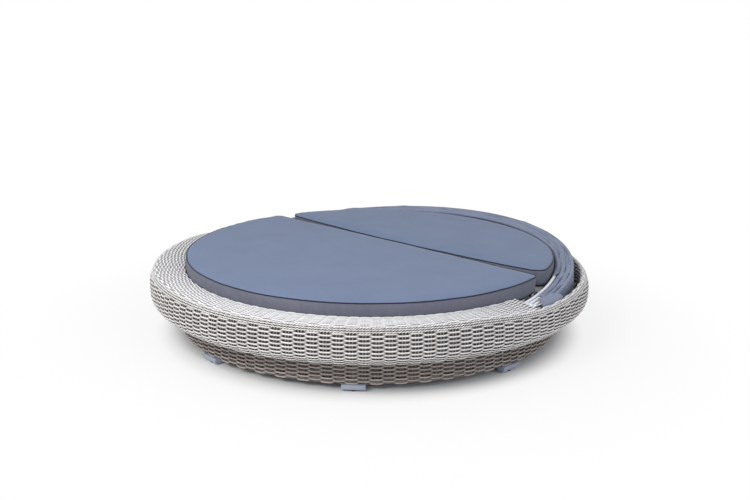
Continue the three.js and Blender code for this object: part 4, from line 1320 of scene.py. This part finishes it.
        # The border and bottom faces take the greyer, darker cloth: partly a real hue difference, partly painted shade
        for face in mesh.polygons:
            border = face.center.z < high - 0.003 and abs(face.normal.z) < 0.75
            face.material_index = 1 if border or face.center.z < self.bottom + 0.02 else 0
        cords = [self.pipe(piece, high - 0.002, f"{self.name}_piping_top", finishes["piping"]),
                 self.pipe(piece, self.bottom + 0.006, f"{self.name}_piping_bottom", finishes["piping"])]
        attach(piece, self.body)
        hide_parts(self.node)
        for cord in cords:
            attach(cord, self.body)
        LOG.info("stuffed %s", self.name)


def fix_outward(piece: bpy.types.Object) -> None:
    """Turns the faces of a closed piece outwards."""
    import bmesh
    shell = bmesh.new()
    shell.from_mesh(piece.data)
    bmesh.ops.recalc_face_normals(shell, faces=shell.faces)
    shell.to_mesh(piece.data)
    shell.free()


# ---------------------------------------------------------------- studio


@dataclass
class Studio:
    """The pale floor, soft lamps and the camera, placed as the photograph was taken."""

    azimuth: float = 44.0
    distance: float = 4.5108
    rise: float = 0.331
    pitch: float = 0.256
    yaw: float = 0.006
    roll: float = 0.005
    lens: float = 43.342

    def floor(self) -> None:
        """A wide white floor, part of its own light to the camera, so that its shadow stays soft."""
        size = 400.0
        plane = mesh_object("studio_floor", [(-size, -size, 0), (size, -size, 0), (size, size, 0),
                                             (-size, size, 0)], [(0, 1, 2, 3)])
        material = bpy.data.materials.new("White studio floor")
        material.use_nodes = True
        tree = material.node_tree
        tree.nodes.clear()
        ray = add_node(tree, "ShaderNodeLightPath").outputs
        seen = add_node(tree, "ShaderNodeMath", {0: ray["Is Camera Ray"], 1: ray["Is Glossy Ray"]},
                        operation="MAXIMUM")
        # Under the bed the floor keeps its shadow, round it the shadow fades, far off it is plain white
        place = add_node(tree, "ShaderNodeTexCoord").outputs["Object"]
        away = add_node(tree, "ShaderNodeVectorMath", {0: place}, operation="LENGTH").outputs["Value"]
        near = add_node(tree, "ShaderNodeMapRange", {"Value": away, "From Min": 0.88, "From Max": 1.05,
                                                     "To Max": 0.82}, interpolation_type="SMOOTHSTEP")
        far = add_node(tree, "ShaderNodeMapRange", {"Value": away, "From Min": 1.0, "From Max": 1.9,
                                                    "To Max": 0.18}, interpolation_type="SMOOTHSTEP")
        both = add_node(tree, "ShaderNodeMath", {0: near.outputs[0], 1: far.outputs[0]}, operation="ADD")
        share = add_node(tree, "ShaderNodeMath", {0: seen.outputs[0], 1: both.outputs[0]},
                         operation="MULTIPLY")
        matt = add_node(tree, "ShaderNodeBsdfDiffuse", {"Color": (0.8, 0.8, 0.8, 1)})
        glow = add_node(tree, "ShaderNodeEmission", {"Color": (1, 1, 1, 1), "Strength": 1.0})
        mixed = add_node(tree, "ShaderNodeMixShader", {0: share.outputs[0], 1: matt.outputs[0], 2: glow.outputs[0]})
        add_node(tree, "ShaderNodeOutputMaterial", {"Surface": mixed.outputs[0]})
        plane.data.materials.append(material)

    def light(self) -> None:
        """Soft daylight from all round and a broad lamp from the left front."""
        scene = bpy.context.scene
        scene.view_settings.view_transform = "Standard"
        world = bpy.data.worlds.new("Studio")
        scene.world = world
        world.use_nodes = True
        tree = world.node_tree
        tree.nodes.clear()
        ray = add_node(tree, "ShaderNodeLightPath").outputs
        seen = add_node(tree, "ShaderNodeMath", {0: ray["Is Camera Ray"], 1: ray["Is Glossy Ray"]},
                        operation="MAXIMUM")
        clear = add_node(tree, "ShaderNodeMath", {0: seen.outputs[0], 1: ray["Is Transmission Ray"]},
                         operation="MAXIMUM")
        sky = add_node(tree, "ShaderNodeBackground", {"Color": (0.93, 0.96, 1.0, 1), "Strength": 0.64})
        white = add_node(tree, "ShaderNodeBackground", {"Color": (1, 1, 1, 1), "Strength": 1.0})
        mixed = add_node(tree, "ShaderNodeMixShader", {0: clear.outputs[0], 1: sky.outputs[0], 2: white.outputs[0]})
        add_node(tree, "ShaderNodeOutputWorld", {"Surface": mixed.outputs[0]})
        turn = math.radians(self.azimuth)
        for name, side, back, height, size, power, colour in (
                ("key", -2.3, -3.5, 3.4, 2.2, 165.0, (1.0, 0.985, 0.97)),
                ("fill", 3.2, -2.6, 1.6, 3.0, 24.0, (0.93, 0.96, 1.0))):
            lamp = bpy.data.lights.new(name, "AREA")
            lamp.size, lamp.energy, lamp.color = size, power, colour
            holder = bpy.data.objects.new(name, lamp)
            bpy.context.collection.objects.link(holder)
            spot = Matrix.Rotation(turn, 3, "Z") @ Vector((side, back, height))
            holder.location = spot
            holder.rotation_mode = "QUATERNION"
            holder.rotation_quaternion = (Vector((0, 0, 0.2)) - spot).to_track_quat("-Z", "Y")

    def camera(self) -> None:
        """The camera, from the pinhole fit to the photograph."""
        ahead = Vector((math.sin(self.yaw) * math.cos(self.pitch), math.cos(self.yaw) * math.cos(self.pitch),
                        -math.sin(self.pitch)))
        right = Vector((math.cos(self.yaw), -math.sin(self.yaw), 0))
        up = right.cross(ahead)
        side = right * math.cos(self.roll) + up * math.sin(self.roll)
        top = up * math.cos(self.roll) - right * math.sin(self.roll)
        turn = Matrix.Rotation(math.radians(self.azimuth), 3, "Z")
        data = bpy.data.cameras.new("camera")
        data.sensor_width, data.lens = 36.0, self.lens
        data.clip_start, data.clip_end = 0.05, 1000
        holder = bpy.data.objects.new("camera", data)
        bpy.context.collection.objects.link(holder)
        place = Matrix((turn @ side, turn @ top, turn @ -ahead)).transposed().to_4x4()
        place.translation = turn @ Vector((0, -math.cos(self.rise), math.sin(self.rise))) * self.distance
        holder.matrix_world = place
        bpy.context.scene.camera = holder

    def build(self) -> None:
        """Sets the studio up."""
        self.camera()
        self.floor()
        self.light()


def dress_nodes(finishes: dict[str, bpy.types.Material]) -> None:
    """Gives every CAD node its finish by its material slot in the record."""
    by_slot = {"wicker": "strand", "wicker_shaded": "low_strand", "frame_aluminium": "aluminium",
               "foot_plastic": "foot", "glide_rubber": "rubber", "bow_paint": "powder",
               "hinge_steel": "stainless", "washer_nylon": "nylon", "canopy_cloth": "canopy",
               "cushion_cloth": "seat_top"}
    for row in frame["record"]["subparts"]:
        piece = frame["nodes"][row["node"]]
        panel = row["node"] in ("deck_weave", "shelf_end_right", "shelf_end_left")
        piece.data.materials.clear()
        piece.data.materials.append(finishes["panel" if panel else by_slot[row["material_slot"]]])


def main() -> None:
    """Builds every sub-assembly in order."""
    logging.basicConfig(level=logging.INFO, format="%(message)s")
    kinds = Finishes()
    finishes = {name: getattr(kinds, name).make() for name in kinds.__dataclass_fields__}
    Studio().build()
    dress_nodes(finishes)
    WovenBody().build(finishes)
    canopy = Canopy()
    canopy.build(finishes)
    Hardware(canopy).build(finishes)
    Feet().build(finishes)
    Cushion("front_cushion_pad", "cushion_front", "front_cushion", -1, 0.006, 0.034).build(finishes)
    Cushion("rear_cushion_pad", "cushion_rear", "rear_cushion", 1, 0.048, 0.062, radius=0.8852).build(finishes)


if __name__ == "__main__":
    main()
